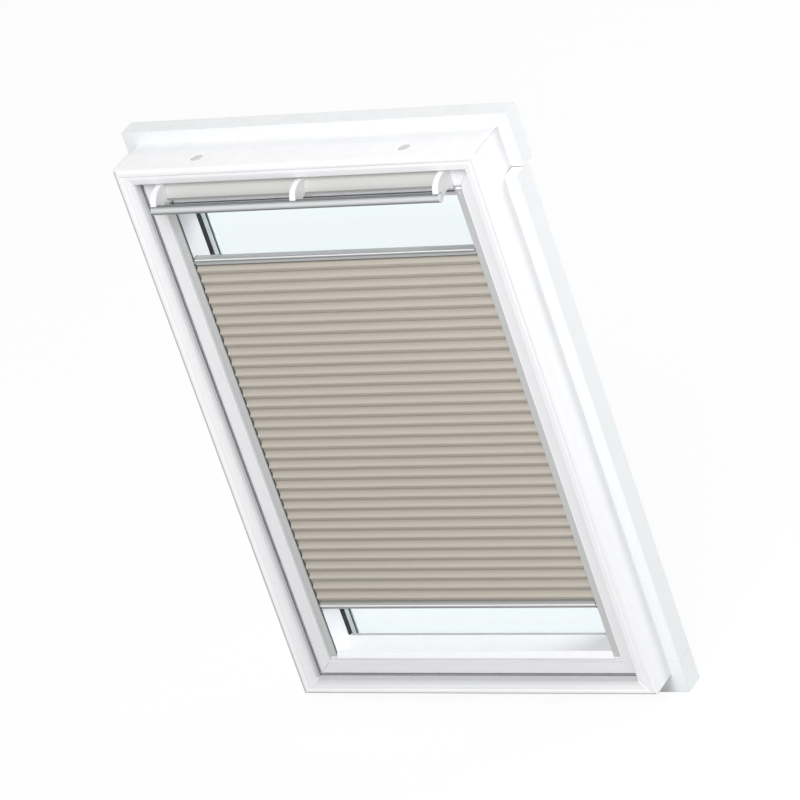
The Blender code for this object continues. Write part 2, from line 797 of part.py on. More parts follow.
def build_flap_pivots(white, dark):
    """Lugs on the sash behind the cheeks of the end arms, and the pins that join the two."""
    pivot = (FLAP_PIVOT_DEPTH, FLAP_PIVOT_HEIGHT)
    seat = SASH_FACE_DEPTH - SEAT
    low = pivot[1] - LUG_RADIUS
    lug = filleted(
        [
            (seat, low, 0),
            (seat, pivot[1] + LUG_RISE, 0),
            (pivot[0] - LUG_RADIUS, pivot[1] + LUG_RADIUS, LUG_RADIUS / 2),
            (pivot[0] - LUG_RADIUS, low, LUG_RADIUS / 2),
        ]
    )
    inner = BAR_HALF - ARM_WIDTH
    cheek = BAR_HALF - CHEEK_THICKNESS
    for side, sign in zip(SIDES, (-1, 1)):
        arm = bpy.data.objects[f"bar_arm_{side}"]
        pocket = sorted((sign * (inner - CUT), sign * cheek))
        cut_box(
            arm,
            (pocket[0], y_at(pivot[0] - CHEEK_POCKET_REACH), pivot[1] - CUT),
            (pocket[1], y_at(SASH_FACE_DEPTH + CUT), pivot[1] + CHEEK_POCKET_RISE),
        )
        hole = bmesh.new()
        add_round_x(
            hole, pivot, FLAP_PIN_RADIUS + SEAT, *sorted((sign * inner, sign * (BAR_HALF - CHEEK_SKIN)))
        )
        cut_with(arm, hole)

        span = sorted((sign * (inner + RUNNING_GAP), sign * (cheek - RUNNING_GAP)))
        shape = bmesh.new()
        add_along_x(shape, lug, *span)
        carrier = finish_mesh(f"flap_lug_{side}", shape, white)
        bore = bmesh.new()
        add_round_x(bore, pivot, FLAP_PIN_RADIUS + FLAP_PIN_CLEARANCE, span[0] - CUT, span[1] + CUT)
        cut_with(carrier, bore)

        shape = bmesh.new()
        add_round_x(
            shape, pivot, FLAP_PIN_RADIUS, *sorted((sign * inner, sign * (BAR_HALF - CHEEK_SKIN - SEAT)))
        )
        finish_mesh(f"flap_pivot_pin_{side}", shape, dark, smooth=True)


def build_rails(aluminium, white, cord):
    """Side rails of the blind, their end stops and the tension cords inside."""
    near = RAIL_FACE
    far = RAIL_FACE + RAIL_THICKNESS
    slot_near = near + RAIL_WALL
    slot_far = far - RAIL_WALL
    slot_inset = RAIL_INSET + RAIL_WALL + 2 * CORD_RADIUS
    bottom = bottom_inset(RAIL_INSET) + STOP_HEIGHT
    top = FRAME_HEIGHT - top_inset(RAIL_INSET) - STOP_HEIGHT
    section = [
        (RAIL_INSET, near),
        (REVEAL_INSET, near),
        (REVEAL_INSET, slot_near),
        (slot_inset, slot_near),
        (slot_inset, slot_far),
        (REVEAL_INSET, slot_far),
        (REVEAL_INSET, far),
        (RAIL_INSET, far),
    ]
    for side, sign in zip(SIDES, (-1, 1)):
        outline = [(sign * (HALF_WIDTH - inset), depth) for inset, depth in section]
        shape = bmesh.new()
        add_along_z(shape, outline, bottom, top)
        finish_mesh(f"guide_rail_{side}", shape, aluminium)
        columns = sorted(sign * (HALF_WIDTH - inset) for inset in (RAIL_INSET, REVEAL_INSET))
        for end, low, high in (
            ("lower", bottom - STOP_HEIGHT, bottom - SEAT),
            ("upper", top + SEAT, top + STOP_HEIGHT),
        ):
            shape = bmesh.new()
            add_box(shape, (columns[0], y_at(near), low), (columns[1], y_at(far), high))
            finish_mesh(f"rail_stop_{side}_{end}", shape, white)
        middle = (sign * (HALF_WIDTH - slot_inset - 2 * CORD_RADIUS), (near + far) / 2)
        shape = bmesh.new()
        add_along_z(shape, circle(middle, CORD_RADIUS, 8), bottom, top)
        finish_mesh(f"tension_cord_{side}", shape, cord, smooth=True)


def bar_outline(bottom):
    """Section of a blind bar, as (depth, height): two ribs in front and a chamfered back."""
    top = bottom + BLIND_BAR_HEIGHT
    near = BLIND_DEPTH - BLIND_BAR_DEPTH / 2
    far = BLIND_DEPTH + BLIND_BAR_DEPTH / 2
    groove = BLIND_BAR_GROOVE
    middle = (bottom + top) / 2
    return filleted(
        [
            (near + groove, bottom, groove / 2),
            (near, bottom + 2 * groove, groove),
            (near, middle - groove / 2, groove / 4),
            (near + groove, middle - groove / 2, 0),
            (near + groove, middle + groove / 2, 0),
            (near, middle + groove / 2, groove / 4),
            (near, top - groove, groove / 2),
            (near + 3 * groove, top, groove),
            (far - groove, top, 0),
            (far, top - groove, 0),
            (far, bottom + groove, 0),
            (far - groove, bottom, 0),
        ]
    )


def build_blind(aluminium, dark, cloth):
    """Top and bottom bars with their end caps, and the pleated fabric between them."""
    half = HALF_WIDTH - REVEAL_INSET - SEAT
    tongue_end = half + TONGUE_LENGTH
    tongue_middle = RAIL_FACE + RAIL_THICKNESS / 2
    tongue_half = RAIL_THICKNESS / 2 - RAIL_WALL - RUNNING_GAP
    for name, bottom in (
        ("top", FABRIC_TOP + SEAT),
        ("bottom", FABRIC_BOTTOM - SEAT - BLIND_BAR_HEIGHT),
    ):
        outline = bar_outline(bottom)
        shape = bmesh.new()
        add_along_x(shape, outline, END_CAP - half, half - END_CAP)
        finish_mesh(f"blind_{name}_bar", shape, aluminium)
        near = BLIND_DEPTH - BLIND_BAR_DEPTH / 2
        far = BLIND_DEPTH + BLIND_BAR_DEPTH / 2
        top = bottom + BLIND_BAR_HEIGHT
        cap = [
            (half - END_CAP + SEAT, near),
            (half - RUNNING_GAP, near),
            (half - RUNNING_GAP, tongue_middle - tongue_half),
            (tongue_end, tongue_middle - tongue_half),
            (tongue_end, tongue_middle + tongue_half),
            (half - RUNNING_GAP, tongue_middle + tongue_half),
            (half - RUNNING_GAP, far),
            (half - END_CAP + SEAT, far),
        ]
        for side, sign in zip(SIDES, (-1, 1)):
            shape = bmesh.new()
            add_along_z(shape, [(sign * x, depth) for x, depth in cap], bottom, top)
            finish_mesh(f"blind_{name}_end_cap_{side}", shape, dark)

    front = []
    back = []
    for k in range(PLEATS):
        low = FABRIC_BOTTOM + k * PLEAT_PITCH
        ridge = low + PLEAT_PITCH / 2
        blunt = PLEAT_REACH - PLEAT_ROUND / 2
        for reach, height in (
            (PLEAT_NECK / 2, low),
            (blunt, ridge - PLEAT_ROUND),
            (PLEAT_REACH, ridge),
            (blunt, ridge + PLEAT_ROUND),
        ):
            front.append((BLIND_DEPTH - reach, height))
            back.append((BLIND_DEPTH + reach, height))
    front.append((BLIND_DEPTH - PLEAT_NECK / 2, FABRIC_TOP))
    back.append((BLIND_DEPTH + PLEAT_NECK / 2, FABRIC_TOP))
    half = HALF_WIDTH - REVEAL_INSET - FABRIC_SIDE_GAP
    shape = bmesh.new()
    add_along_x(shape, front + back[::-1], -half, half)
    finish_mesh("pleated_fabric", shape, cloth)


def main():
    """Build every piece."""
    clear_scene()
    white = material("white_coating", (0.86, 0.86, 0.87), 0.35)
    warm_white = material("flap_white", (0.80, 0.80, 0.78), 0.40)
    cover = material("cover_sheet", (0.78, 0.79, 0.80), 0.45, 0.3)
    aluminium = material("brushed_aluminium", (0.66, 0.67, 0.67), 0.35, 0.9)
    steel = material("satin_steel", (0.72, 0.73, 0.74), 0.28, 1.0)
    dark = material("dark_plastic", (0.10, 0.10, 0.11), 0.5)
    black = material("black_rubber", (0.03, 0.03, 0.03), 0.7)
    grey = material("spacer_grey", (0.40, 0.41, 0.42), 0.45, 0.5)
    glass = material("window_glass", (0.86, 0.94, 0.97), 0.05)
    cloth = material("pleated_cloth", (0.50, 0.45, 0.40), 0.85)
    cord = material("cord_grey", (0.60, 0.60, 0.60), 0.8)

    build_frame(white)
    build_frame_fittings(black, steel, dark, white)
    build_exterior(cover, steel)
    build_sash(white, dark)
    build_glazing(glass, black, grey)
    build_sash_covers(cover)
    build_pivots(steel)
    build_lock(steel, dark)
    build_flap(warm_white)
    build_bar(white, steel)
    build_flap_pivots(white, dark)
    build_rails(aluminium, white, cord)
    build_blind(aluminium, dark, cloth)


main()
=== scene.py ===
"""Looks of a centre-pivot roof window with a double pleated blind.

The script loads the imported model, gives each of its parts a finish, lays
folded cells of cloth where the model has a plain solid, adds the small
fittings that the solids leave out, and sets the floor, the light and the
camera. Lengths are in metres. An inset is a distance inwards from the outer
edge of the frame, and a depth is a distance outwards from its room face.
"""

import logging
import math
import random
from dataclasses import asdict, dataclass, field, replace
from enum import Enum
from typing import Callable, Iterable, Sequence

import bmesh
import bpy
from mathutils import Matrix, Vector
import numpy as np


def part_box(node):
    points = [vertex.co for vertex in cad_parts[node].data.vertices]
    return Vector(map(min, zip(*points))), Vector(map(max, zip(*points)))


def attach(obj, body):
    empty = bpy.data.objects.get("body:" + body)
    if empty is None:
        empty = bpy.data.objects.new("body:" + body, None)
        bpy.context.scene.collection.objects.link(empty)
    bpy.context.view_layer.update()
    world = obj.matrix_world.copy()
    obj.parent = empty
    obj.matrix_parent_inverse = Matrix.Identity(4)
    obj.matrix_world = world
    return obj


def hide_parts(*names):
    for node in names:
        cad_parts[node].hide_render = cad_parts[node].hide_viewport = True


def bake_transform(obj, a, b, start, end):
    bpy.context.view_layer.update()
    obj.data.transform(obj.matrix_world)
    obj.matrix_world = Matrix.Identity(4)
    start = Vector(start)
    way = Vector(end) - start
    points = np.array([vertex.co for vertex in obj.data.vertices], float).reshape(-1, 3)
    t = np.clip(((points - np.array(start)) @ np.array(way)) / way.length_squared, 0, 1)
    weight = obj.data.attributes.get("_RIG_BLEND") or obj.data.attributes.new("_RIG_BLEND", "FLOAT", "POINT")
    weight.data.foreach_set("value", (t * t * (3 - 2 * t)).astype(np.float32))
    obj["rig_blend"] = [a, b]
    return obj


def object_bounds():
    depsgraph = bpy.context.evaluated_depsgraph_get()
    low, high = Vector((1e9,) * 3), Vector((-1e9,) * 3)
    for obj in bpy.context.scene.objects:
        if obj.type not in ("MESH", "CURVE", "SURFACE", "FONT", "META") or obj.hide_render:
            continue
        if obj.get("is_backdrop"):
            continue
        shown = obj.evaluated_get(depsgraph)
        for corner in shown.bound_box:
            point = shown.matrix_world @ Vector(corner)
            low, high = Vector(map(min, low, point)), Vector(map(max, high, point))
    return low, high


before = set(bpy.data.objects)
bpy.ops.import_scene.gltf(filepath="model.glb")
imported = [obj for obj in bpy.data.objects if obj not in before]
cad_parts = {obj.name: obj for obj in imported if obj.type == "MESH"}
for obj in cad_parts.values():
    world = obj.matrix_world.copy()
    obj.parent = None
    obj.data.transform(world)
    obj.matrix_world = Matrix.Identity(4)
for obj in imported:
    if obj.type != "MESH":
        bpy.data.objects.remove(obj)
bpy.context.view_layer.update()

log = logging.getLogger("roof_window")

Pair = tuple[float, float]
Point = tuple[float, float, float]
Colour = tuple[float, float, float]
Socket = bpy.types.NodeSocket

SMOOTH_ANGLE = math.radians(35)
CLOTH_ANGLE = math.radians(50)
ROUND_SIDES = 24
BEAD_SIDES = 8
SIDES = (("left", -1), ("right", 1))
ROOMWARD = (0, -1, 0)
OUTWARD = (0, 1, 0)
UPWARD = (0, 0, 1)
DOWNWARD = (0, 0, -1)


class Body(str, Enum):
    """The bodies that pieces ride on."""

    FRAME = "frame"
    SASH = "sash"
    FLAP = "flap"
    BLIND_TOP = "blind_top"
    BLIND_BOTTOM = "blind_bottom"


class Slot(str, Enum):
    """The material slots of the record."""

    WHITE = "white_coating"
    FLAP = "flap_white"
    COVER = "cover_sheet"
    RAIL = "brushed_aluminium"
    BAR = "bar_aluminium"
    STEEL = "satin_steel"
    PLASTIC = "dark_plastic"
    RUBBER = "black_rubber"
    SPACER = "spacer_grey"
    GLASS = "window_glass"
    CLOTH = "pleated_cloth"
    CORD = "cord_grey"


class Tone(Enum):
    """The finishes of single pieces that differ from the usual one of their slot."""

    SASH = 1
    BLIND_BAR = 2
    FLAP_EDGE = 3
    GASKET = 4
    FRAME = 5
    RIDGE = 6


class Drive(Enum):
    """The recess in a screw's head."""

    SLOT = 1
    CROSS = 2
    HEX = 6


def linear(red: int, green: int, blue: int) -> Colour:
    """Turn display values into the linear colour of a shader.

    Args:
        red: Display value of red, 0 to 255.
        green: Display value of green.
        blue: Display value of blue.

    Returns:
        The linear colour.
    """
    parts = []
    for value in (red, green, blue):
        share = value / 255
        parts.append(share / 12.92 if share <= 0.04045 else ((share + 0.055) / 1.055) ** 2.4)
    return (parts[0], parts[1], parts[2])


class Graph:
    """Adds nodes to one node tree and joins their sockets."""

    def __init__(self, tree: bpy.types.NodeTree, count: int = 0) -> None:
        """Keep the tree to build in, and how many nodes it has."""
        self.tree = tree
        self.count = count

    def feed(self, socket: Socket, value: object) -> None:
        """Feed a socket.

        Args:
            socket: The input.
            value: The socket to link it to, or its value.
        """
        if isinstance(value, Socket):
            self.tree.links.new(value, socket)
        elif socket.type == "RGBA":
            socket.default_value = (*value, 1.0)
        else:
            socket.default_value = value

    def add(self, kind: str, values: dict | None = None, **settings: object) -> bpy.types.Node:
        """Add a node.

        Args:
            kind: The node's type without its ShaderNode prefix.
            values: Socket names or indices, with the value or the socket that feeds each.
            settings: Properties of the node.

        Returns:
            The new node.
        """
        node = self.tree.nodes.new(f"ShaderNode{kind}")
        node.location = (220 * (self.count % 8), -260 * (self.count // 8))
        self.count += 1
        for name, value in settings.items():
            setattr(node, name, value)
        for key, value in (values or {}).items():
            self.feed(node.inputs[key], value)
        return node

    def math(self, operation: str, *terms: float | Socket, clamp: bool = False) -> Socket:
        """Join numbers with one operation."""
        return self.add("Math", dict(enumerate(terms)), operation=operation, use_clamp=clamp).outputs[0]

    def blend(self, factor: float | Socket, first: Colour | Socket, second: Colour | Socket) -> Socket:
        """Mix two colours by a factor."""
        return self.add("Mix", {0: factor, 6: first, 7: second}, data_type="RGBA").outputs[2]

    def span(self, value: Socket, low: float, high: float) -> Socket:
        """Spread a mask from 0 to 1 over low to high."""
        return self.add("MapRange", {0: value, 3: low, 4: high}).outputs[0]

    def around(self) -> Socket:
        """The place of each point of the object."""
        return self.add("TexCoord").outputs["Object"]

    def stretched(self, place: Socket, factors: Point | Socket) -> Socket:
        """A place that is multiplied along each axis."""
        return self.add("VectorMath", {0: place, 1: factors}, operation="MULTIPLY").outputs[0]

    def noise(self, place: Socket, scale: float | Socket, detail: float, roughness: float = 0.5) -> Socket:
        """The value of a noise texture."""
        values = {"Vector": place, "Scale": scale, "Detail": detail, "Roughness": roughness}
        return self.add("TexNoise", values).outputs["Fac"]

    def bump(self, height: Socket, strength: float, distance: float, normal: Socket | None = None) -> Socket:
        """Turn a height into a normal.

        Args:
            height: The height's socket.
            strength: The share of the bump that is used.
            distance: The height that the value 1 stands for.
            normal: The normal to start from, if not the mesh's own.

        Returns:
            The normal's socket.
        """
        values = {"Height": height, "Strength": strength, "Distance": distance}
        if normal is not None:
            values["Normal"] = normal
        return self.add("Bump", values).outputs[0]


Sockets = dict[str, Socket]

# Fixed settings of the shared effects. A noise has its scale, detail and roughness.
EDGE_SAMPLES = 6
SPECK_SCALE = 160.0
PEEL_DETAIL = (3.0, 0.55)
MOTTLE = (7.0, 4.0, 0.6)
DUST_DETAIL = 6.0
DUST_FALL = 3.0
LINES = (1.0, 4.0, 0.7)
SMUDGES = (9.0, 3.0)
THREAD_WOBBLE = (260.0, 2.0)
SLUB_STRETCH = (22.0, 1900.0, 1.0)
SLUBS = (1.0, 3.0)
SCUFF_STRETCH = (60.0, 90.0, 14.0)
SCUFFS = (1.0, 5.0, 0.7)


class Effect:
    """A node group that several finishes share."""

    def __init__(
        self,
        name: str,
        fill: Callable[[Graph, Sockets], Sockets],
        inputs: dict[str, float],
        outputs: Sequence[str],
    ) -> None:
        """Make the group.

        Args:
            name: The group's name.
            fill: Builds the nodes from the group's inputs and gives the socket for each output.
            inputs: Its number inputs, with their usual values.
            outputs: Its outputs. All of them are numbers but Normal.
        """
        self.tree = bpy.data.node_groups.new(name, "ShaderNodeTree")
        face = self.tree.interface
        for label, value in inputs.items():
            socket = face.new_socket(name=label, in_out="INPUT", socket_type="NodeSocketFloat")
            socket.default_value = value
        for label in outputs:
            kind = "Vector" if label == "Normal" else "Float"
            face.new_socket(name=label, in_out="OUTPUT", socket_type=f"NodeSocket{kind}")
        source = self.tree.nodes.new("NodeGroupInput")
        sink = self.tree.nodes.new("NodeGroupOutput")
        for label, socket in fill(Graph(self.tree), source.outputs).items():
            self.tree.links.new(socket, sink.inputs[label])

    def place(self, graph: Graph, **values: float) -> Sockets:
        """Put the group in a material.

        Args:
            graph: The material's graph.
            values: The inputs' values, by name.

        Returns:
            The group's outputs.
        """
        node = graph.add("Group", node_tree=self.tree)
        for name, value in values.items():
            node.inputs[name.replace("_", " ").capitalize()].default_value = value
        return node.outputs


def fill_soft_edges(graph: Graph, given: Sockets) -> Sockets:
    """Round the edges: a normal that turns over each sharp edge, and a mask along the edges.

    Args:
        graph: The group's graph.
        given: The group's inputs.

    Returns:
        The socket for each output.
    """
    bevel = graph.add("Bevel", {"Radius": given["Radius"]}, samples=EDGE_SAMPLES).outputs[0]
    flat = graph.add("NewGeometry").outputs["Normal"]
    along = graph.add("VectorMath", {0: bevel, 1: flat}, operation="DOT_PRODUCT").outputs["Value"]
    turned = graph.math("SUBTRACT", 1.0, along)
    return {"Mask": graph.math("MULTIPLY", turned, given["Strength"], clamp=True), "Normal": bevel}


def fill_coat_texture(graph: Graph, given: Sockets) -> Sockets:
    """Make the fine peel of a sprayed coat, its slow unevenness and its specks.

    Args:
        graph: The group's graph.
        given: The group's inputs.

    Returns:
        The socket for each output.
    """
    place = graph.around()
    speck = graph.add("TexVoronoi", {"Vector": place, "Scale": SPECK_SCALE}).outputs["Distance"]
    return {
        "Height": graph.noise(place, given["Scale"], *PEEL_DETAIL),
        "Mask": graph.noise(place, *MOTTLE),
        "Specks": graph.math("LESS_THAN", speck, given["Specks"]),
    }


def fill_dust(graph: Graph, given: Sockets) -> Sockets:
    """Lay dust on faces that look up, broken up by noise.

    Args:
        graph: The group's graph.
        given: The group's inputs.

    Returns:
        The socket for each output.
    """
    places = graph.add("TexCoord").outputs
    up = graph.add("SeparateXYZ", {0: places["Normal"]}).outputs["Z"]
    upward = graph.math("MULTIPLY_ADD", up, 0.5, 0.5, clamp=True)
    cloud = graph.noise(places["Object"], given["Scale"], DUST_DETAIL)
    lifted = graph.math("MULTIPLY", graph.math("POWER", upward, DUST_FALL), cloud)
    return {"Mask": graph.math("MULTIPLY", lifted, given["Amount"], clamp=True)}


def fill_brushed_lines(graph: Graph, given: Sockets) -> Sockets:
    """Draw the fine lines of drawn or brushed metal, with slow smudges.

    Args:
        graph: The group's graph.
        given: The group's inputs.

    Returns:
        The socket for each output.
    """
    place = graph.around()
    across = {axis: given[f"Across {'xyz'[axis]}"] for axis in range(3)}
    drawn = graph.stretched(place, graph.add("CombineXYZ", across).outputs[0])
    return {"Height": graph.noise(drawn, *LINES), "Mask": graph.noise(place, *SMUDGES)}


def fill_weave(graph: Graph, given: Sockets) -> Sockets:
    """Weave uneven threads, laid out by the cloth's own flat size in metres.

    Args:
        graph: The group's graph.
        given: The group's inputs.

    Returns:
        The socket for each output.
    """
    place = graph.add("UVMap", uv_map="flat").outputs[0]
    axes = graph.add("SeparateXYZ", {0: place}).outputs
    wobble = graph.math("SUBTRACT", graph.noise(place, *THREAD_WOBBLE), 0.5)
    shift = graph.math("MULTIPLY", wobble, given["Wobble"])
    waves = []
    for axis in ("X", "Y"):
        turns = graph.math("MULTIPLY", graph.math("ADD", axes[axis], shift), given["Threads"])
        waves.append(graph.math("SINE", graph.math("MULTIPLY", turns, math.pi)))
    crossing = graph.math("MULTIPLY", *waves)
    slubs = graph.noise(graph.stretched(place, SLUB_STRETCH), *SLUBS)
    return {"Height": graph.math("MULTIPLY_ADD", crossing, 0.5, 0.5), "Mask": slubs}


def fill_grain(graph: Graph, given: Sockets) -> Sockets:
    """Make the eroded grain of moulded plastic or rubber, with faint scuffs.

    Args:
        graph: The group's graph.
        given: The group's inputs.

    Returns:
        The socket for each output.
    """
    place = graph.around()
    cells = graph.add("TexVoronoi", {"Vector": place, "Scale": given["Scale"]}, feature="SMOOTH_F1")
    scuffs = graph.noise(graph.stretched(place, SCUFF_STRETCH), *SCUFFS)
    return {"Height": cells.outputs["Distance"], "Mask": scuffs}


def fill_painted_rim_shade(graph: Graph, given: Sockets) -> Sockets:
    """Paint shade onto the rim: more and more from the ridge in to the sash, and a painted shadow line along
    its outer edge.

    Args:
        graph: The group's graph.
        given: The group's inputs.

    Returns:
        The socket for each output.
    """
    axes = graph.add("SeparateXYZ", {0: graph.around()}).outputs
    side = graph.math("SUBTRACT", given["Right"], graph.math("ABSOLUTE", axes["X"]))
    low = graph.math("DIVIDE", axes["Z"], given["Low share"])
    beside = graph.math("MINIMUM", side, graph.math("SUBTRACT", given["Top"], axes["Z"]))
    inset = graph.math("MINIMUM", beside, low)
    grown = graph.add("MapRange", {0: inset, 1: given["Start"], 2: given["Finish"]}).outputs[0]
    below = graph.math("MULTIPLY", graph.math("LESS_THAN", low, beside), given["Low strength"])
    # Only the left member takes the painted side shade, as if the light came from the right.
    at_left = graph.math("MULTIPLY", graph.math("LESS_THAN", axes["X"], 0.0), given["Side strength"])
    inner = graph.math("MULTIPLY", graph.math("POWER", grown, 2.0), graph.math("MAXIMUM", below, at_left))
    # A painted shadow line along the outer edge of the left and lower members.
    outset = graph.math("MINIMUM", graph.math("ADD", axes["X"], given["Right"]), low)
    fade = {0: outset, 1: given["Edge near"], 2: given["Edge far"], 3: given["Edge strength"], 4: 0.0}
    return {"Mask": graph.math("MAXIMUM", inner, graph.add("MapRange", fade).outputs[0])}


@dataclass(frozen=True)
class Effects:
    """The effects that the finishes share."""

    soft_edges: Effect
    coat_texture: Effect
    dust: Effect
    brushed_lines: Effect
    weave: Effect
    grain: Effect
    painted_rim_shade: Effect

    @classmethod
    def build(cls) -> "Effects":
        """Make each node group once.

        Returns:
            The effects.
        """
        across = {"Across x": 8.0, "Across y": 2500.0, "Across z": 2500.0}
        rim = {name.replace("_", " ").capitalize(): value for name, value in PaintedRimShade().numbers().items()}
        coat = {"Scale": 900.0, "Specks": 0.0}
        table = {
            "soft_edges": (fill_soft_edges, {"Radius": 0.001, "Strength": 2.5}, ("Mask", "Normal")),
            "coat_texture": (fill_coat_texture, coat, ("Height", "Mask", "Specks")),
            "dust": (fill_dust, {"Amount": 0.3, "Scale": 40.0}, ("Mask",)),
            "brushed_lines": (fill_brushed_lines, across, ("Height", "Mask")),
            "weave": (fill_weave, {"Threads": 2600.0, "Wobble": 0.0001}, ("Height", "Mask")),
            "grain": (fill_grain, {"Scale": 1500.0}, ("Height", "Mask")),
            "painted_rim_shade": (fill_painted_rim_shade, rim, ("Mask",)),
        }
        return cls(**{name: Effect(name, *row) for name, row in table.items()})


@dataclass(frozen=True)
class PaintedRimShade:
    """A painted shade: a soft grey that grows over the frame's left and lower rim from its ridge in to the
    sash, and, where its edge strength is set, a painted shadow line along their outer edge.
    """

    right: float = 0.39
    top: float = 1.18
    low_share: float = 1.0
    start: float = 0.012
    finish: float = 0.0345
    side_strength: float = 0.16
    low_strength: float = 0.44
    edge_strength: float = 0.0
    edge_near: float = 0.0062
    edge_far: float = 0.0078
    # The colour of the painted shade.
    colour: Colour = linear(120, 120, 123)

    def numbers(self) -> dict[str, float]:
        """The number inputs of the shared effect."""
        return {name: value for name, value in asdict(self).items() if name != "colour"}


@dataclass(frozen=True)
class Finish:
    """The finish of one material."""

    name: str

    def inputs(self, graph: Graph, effects: Effects) -> dict[str, object]:
        """The shader's inputs, which each kind of finish gives."""
        raise NotImplementedError

    def material(self, effects: Effects) -> bpy.types.Material:
        """Build the material.

        Args:
            effects: The shared effects.

        Returns:
            The material.
        """
        made = bpy.data.materials.new(self.name)
        made.use_nodes = True
        graph = Graph(made.node_tree, 2)
        shader = made.node_tree.nodes["Principled BSDF"]
        for name, value in self.inputs(graph, effects).items():
            graph.feed(shader.inputs[name], value)
        return made


@dataclass(frozen=True)
class CoatFinish(Finish):
    """A sprayed or powder coat on wood, plastic or sheet metal."""

    colour: Colour
    shade: Colour
    worn: Colour
    roughness: Pair = (0.28, 0.4)
    peel: float = 900.0
    peel_height: float = 0.00002
    bump: float = 0.35
    edge_radius: float = 0.0012
    edge_wear: float = 1.6
    specks: float = 0.0
    speck_colour: Colour = (0.5, 0.5, 0.5)
    dust: float = 0.25
    dust_scale: float = 34.0
    dust_colour: Colour = linear(206, 203, 196)
    metallic: float = 0.0
    rim: PaintedRimShade | None = None

    def inputs(self, graph: Graph, effects: Effects) -> dict[str, object]:
        """Give the shader's inputs.

        Args:
            graph: The material's graph.
            effects: The shared effects.

        Returns:
            Each input's value or socket.
        """
        edges = effects.soft_edges.place(graph, radius=self.edge_radius, strength=self.edge_wear)
        texture = effects.coat_texture.place(graph, scale=self.peel, specks=self.specks)
        dust = effects.dust.place(graph, amount=self.dust, scale=self.dust_scale)
        tone = graph.blend(texture["Mask"], self.colour, self.shade)
        tone = graph.blend(texture["Specks"], tone, self.speck_colour)
        # Edges take the worn colour, which is lighter than the coat: partly wear, partly a painted highlight
        # along the edges.
        tone = graph.blend(edges["Mask"], tone, self.worn)
        tone = graph.blend(dust["Mask"], tone, self.dust_colour)
        # The frame's coats blend in the painted rim shade.
        if self.rim is not None:
            shade = effects.painted_rim_shade.place(graph, **self.rim.numbers())
            tone = graph.blend(shade["Mask"], tone, self.rim.colour)
        return {
            "Base Color": tone,
            "Roughness": graph.span(texture["Mask"], *self.roughness),
            "Normal": graph.bump(texture["Height"], self.bump, self.peel_height, edges["Normal"]),
            "Metallic": self.metallic,
        }


@dataclass(frozen=True)
class MetalFinish(Finish):
    """Drawn, brushed or satin metal, with lines along one direction, and on some a painted highlight band
    with painted shade round it.
    """

    colour: Colour
    shade: Colour
    across: Point
    roughness: Pair = (0.26, 0.4)
    line_height: float = 0.00001
    bump: float = 0.4
    edge_radius: float = 0.0006
    edge_wear: float = 2.0
    smudge: float = 0.25
    gloss_shares: Pair = (0.6, 0.4)
    metallic: float = 0.9
    # A side for a painted highlight: faces turned towards it keep the metal's tone, and the others fade to a
    # painted shade colour.
    bright_side: Point | None = None
    painted_highlight_band: Pair = (0.76, 0.99)
    dark_side: Colour = (0.2, 0.2, 0.2)

    def inputs(self, graph: Graph, effects: Effects) -> dict[str, object]:
        """Give the shader's inputs.

        Args:
            graph: The material's graph.
            effects: The shared effects.

        Returns:
            Each input's value or socket.
        """
        edges = effects.soft_edges.place(graph, radius=self.edge_radius, strength=self.edge_wear)
        x, y, z = self.across
        lines = effects.brushed_lines.place(graph, across_x=x, across_y=y, across_z=z)
        tone = graph.blend(lines["Height"], self.colour, self.shade)
        tone = graph.blend(edges["Mask"], tone, self.colour)
        tone = graph.blend(graph.math("MULTIPLY", lines["Mask"], self.smudge), tone, self.shade)
        # Painted highlight and shade: the tone is kept on faces turned towards the given side and darkened
        # elsewhere, like a lit band on a round bar.
        if self.bright_side is not None:
            turn = {0: graph.add("TexCoord").outputs["Normal"], 1: self.bright_side}
            turned = graph.add("VectorMath", turn, operation="DOT_PRODUCT").outputs["Value"]
            near, far = self.painted_highlight_band
            band = graph.add("MapRange", {0: turned, 1: near, 2: far}).outputs[0]
            tone = graph.blend(band, self.dark_side, tone)
        fine, slow = self.gloss_shares
        gloss = graph.math("MULTIPLY_ADD", lines["Height"], fine, graph.math("MULTIPLY", lines["Mask"], slow))
        return {
            "Base Color": tone,
            "Roughness": graph.span(gloss, *self.roughness),
            "Normal": graph.bump(lines["Height"], self.bump, self.line_height, edges["Normal"]),
            "Metallic": self.metallic,
        }


@dataclass(frozen=True)
class MouldedFinish(Finish):
    """Moulded plastic or rubber."""

    colour: Colour
    scuffed: Colour
    roughness: Pair = (0.45, 0.65)
    grain: float = 1500.0
    grain_height: float = 0.00003
    bump: float = 0.5
    scuffs: float = 0.5
    edge_radius: float = 0.0005
    edge_wear: float = 1.8
    dust: float = 0.35
    dust_scale: float = 60.0
    dust_colour: Colour = linear(168, 165, 158)
    metallic: float = 0.0

    def inputs(self, graph: Graph, effects: Effects) -> dict[str, object]:
        """Give the shader's inputs.

        Args:
            graph: The material's graph.
            effects: The shared effects.

        Returns:
            Each input's value or socket.
        """
        edges = effects.soft_edges.place(graph, radius=self.edge_radius, strength=self.edge_wear)
        grain = effects.grain.place(graph, scale=self.grain)
        dust = effects.dust.place(graph, amount=self.dust, scale=self.dust_scale)
        tone = graph.blend(graph.math("MULTIPLY", grain["Mask"], self.scuffs), self.colour, self.scuffed)
        tone = graph.blend(edges["Mask"], tone, self.scuffed)
        return {
            "Base Color": graph.blend(dust["Mask"], tone, self.dust_colour),
            "Roughness": graph.span(grain["Mask"], *self.roughness),
            "Normal": graph.bump(grain["Height"], self.bump, self.grain_height, edges["Normal"]),
            "Metallic": self.metallic,
        }


